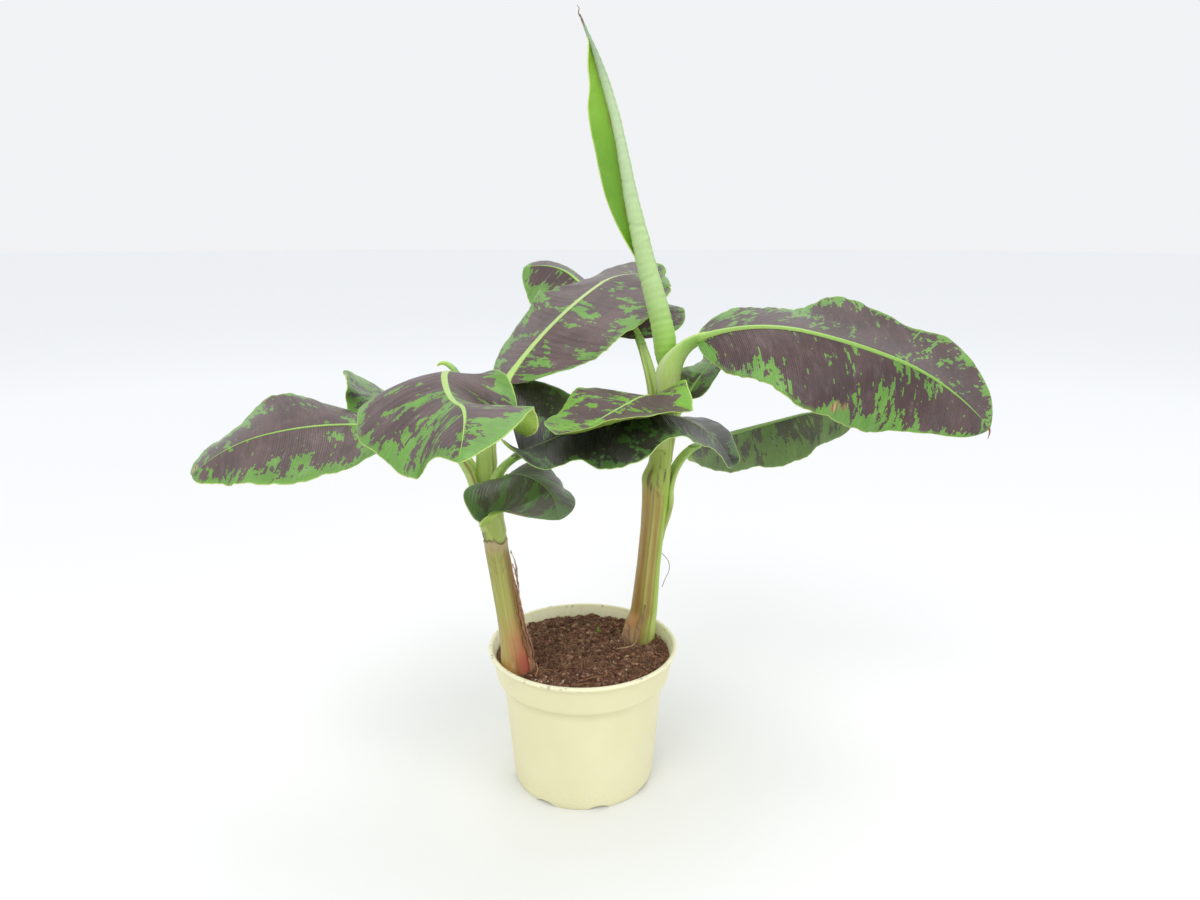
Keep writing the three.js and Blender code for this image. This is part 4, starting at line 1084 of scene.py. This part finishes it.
def make_crumbs(rng, corners, tris):
    r = np.sqrt(rng.uniform(0, 1, CRUMBS)) * (INNER_R - 2.2)
    a = rng.uniform(0, 2 * np.pi, CRUMBS)
    places = np.stack([r * np.cos(a), r * np.sin(a), soil_top(r * np.cos(a), r * np.sin(a))], -1)
    piece = Piece()
    for place in places[clear_of_stems(places[:, 0], places[:, 1], 1.2)]:
        size = min(rng.gamma(1.4, 0.6) + 0.3, 3.6)
        shape = corners * rng.uniform((0.6, 0.4, 0.3), (1.7, 1.1, 0.8)) * size
        shape = shape * (1 + 0.35 * rng.normal(size=(len(corners), 1)))
        turn = rng.uniform(0, 2 * np.pi)
        c, s = math.cos(turn), math.sin(turn)
        where = place + [0, 0, 0.2 * size + rng.uniform(-0.6, 0.6)]
        paler = 0.82 + 0.3 * ramp(place[0] - 0.6 * place[1], -60, 90) + 0.1 * rng.normal()
        shade = CRUMB_SHADES[rng.integers(len(CRUMB_SHADES))]
        piece.add(shape @ np.array([[c, s, 0], [-s, c, 0], [0, 0, 1.0]]) + where, (), tris,
                  tint=np.array(srgb(*shade)) * max(paler, 0.5))
    piece.build("soil_crumbs", [PEAT], "soil")


def make_fibres(rng):
    piece, t = Piece(), np.linspace(-0.5, 0.5, 8)
    for k in range(FIBRES):
        r, g = math.sqrt(rng.uniform(0, 1)) * (INNER_R - 4), rng.uniform(0, 2 * np.pi)
        px, py = r * math.cos(g), r * math.sin(g)
        if not clear_of_stems(px, py, 3):
            continue
        length, head = 3 + 15 * rng.uniform() ** 2, rng.uniform(0, 2 * np.pi)
        bend = rng.normal() * 5
        x = px + length * t * math.cos(head) - bend * t ** 2 * math.sin(head)
        y = py + length * t * math.sin(head) + bend * t ** 2 * math.cos(head)
        if np.hypot(x, y).max() > INNER_R - 2:
            continue
        z = soil_top(x, y) + 0.6 + rng.uniform(0, 1.0) + rng.normal() * 1.1 * np.sin(6 * t + k)
        shade = FIBRE_SHADES[rng.integers(len(FIBRE_SHADES))]
        piece.tube(np.stack([x, y, z], -1), rng.uniform(0.12, 0.42) * np.cos(t * 2.4), 5, shade)
    for knots, r, shade in ROOTS:
        piece.tube(smooth(knots, np.linspace(0, 1, 26)), r * np.linspace(1, 0.6, 26), 8, shade)
    piece.build("soil_fibres", [FIBRE], "soil")


def make_grit(corners, tris):
    piece, rng = Piece(), np.random.default_rng(19)
    for cx, cy, spread, number in GRIT:
        for _ in range(number):
            x, y = np.float64(cx + rng.normal() * spread), np.float64(cy + rng.normal() * spread * 0.6)
            if clear_of_stems(x, y, 0.5):
                size = rng.uniform(0.45, 1.25)
                shape = corners * rng.uniform(0.6, 1.2, 3) * size
                piece.add(shape + [x, y, float(soil_top(x, y)) + 1.2], (), tris, tint=srgb(224, 214, 196))
    piece.build("soil_grit", [FIBRE], "soil")


def make_shoot():
    piece, t, v = Piece(), np.linspace(0, 1, 14), np.linspace(-1, 1, 5)
    for turn, lean, high in ((100, 3, 9), (200, 4, 6), (330, 5, 5)):
        c, s = math.cos(math.radians(turn)), math.sin(math.radians(turn))
        path = np.array([17, 43, SOIL_Z]) + np.stack([c * lean * t ** 2, s * lean * t ** 2, high * t], -1)
        wide = 2.0 * np.sin(np.pi * (0.15 + 0.85 * t)) + 0.15
        rows = path[:, None] + (wide[:, None] * v)[..., None] * np.array([-s, c, 0.15])
        piece.add(*sheet(rows, 0.4)[:2], tint=srgb(112, 132, 44))
    piece.build("small_shoot", [STALK], "stalk")


make_bed()
soil_rng, grain_mesh = np.random.default_rng(7), grain()
make_crumbs(soil_rng, *grain_mesh)
make_fibres(soil_rng)
make_grit(*grain_mesh)
make_shoot()


# ---- floor, light and camera ------------------------------------------------------
def floor_paint(near, far):
    """Floor paint that grows paler away from the pot, so that it meets the pale background."""
    m = Mat("floor_paint", 0.9, 0.1)
    x, y, _ = m.parts(m.place())
    reach = m.math("SQRT", m.math("ADD", m.math("MULTIPLY", x, x), m.math("MULTIPLY", y, y)))
    m.put(m.bsdf.inputs["Base Color"], m.mix(m.span(reach, 0.8, 3.2), near, far))
    return m.mat


bpy.ops.mesh.primitive_circle_add(vertices=96, radius=30, fill_type="NGON", location=(0, 0, 0))
floor = bpy.context.object
floor.name = "floor"
floor.data.materials.append(floor_paint((0.8, 0.8, 0.8), (0.96, 0.975, 0.99)))

world = bpy.data.worlds.new("studio")
world.use_nodes = True
background = world.node_tree.nodes["Background"].inputs
background["Color"].default_value = (0.93, 0.94, 0.96, 1)
background["Strength"].default_value = 0.95
bpy.context.scene.world = world


def area(name, place, aim, size, power):
    data = bpy.data.lights.new(name, "AREA")
    data.shape, data.size, data.energy = "DISK", size, power
    ob = bpy.data.objects.new(name, data)
    ob.location = place
    ob.rotation_euler = (Vector(aim) - Vector(place)).to_track_quat("-Z", "Y").to_euler()
    bpy.context.scene.collection.objects.link(ob)


area("key", (-0.7, -1.5, 2.3), (0, 0, 0.35), 1.5, 26)
area("fill", (1.8, -1.2, 1.4), (0, 0, 0.35), 1.6, 9)
area("top", (0.2, 0.4, 2.4), (0, 0, 0.3), 1.6, 14)

camera = bpy.data.objects.new("camera", bpy.data.cameras.new("camera"))
camera.data.sensor_width = 36
camera.data.lens = 26.1
camera.location = (0.019, -0.892, 0.605)
camera.rotation_euler = (math.radians(90 - 14.1), 0, 0)
bpy.context.scene.collection.objects.link(camera)
bpy.context.scene.camera = camera
bpy.context.scene.view_settings.view_transform = "Standard"
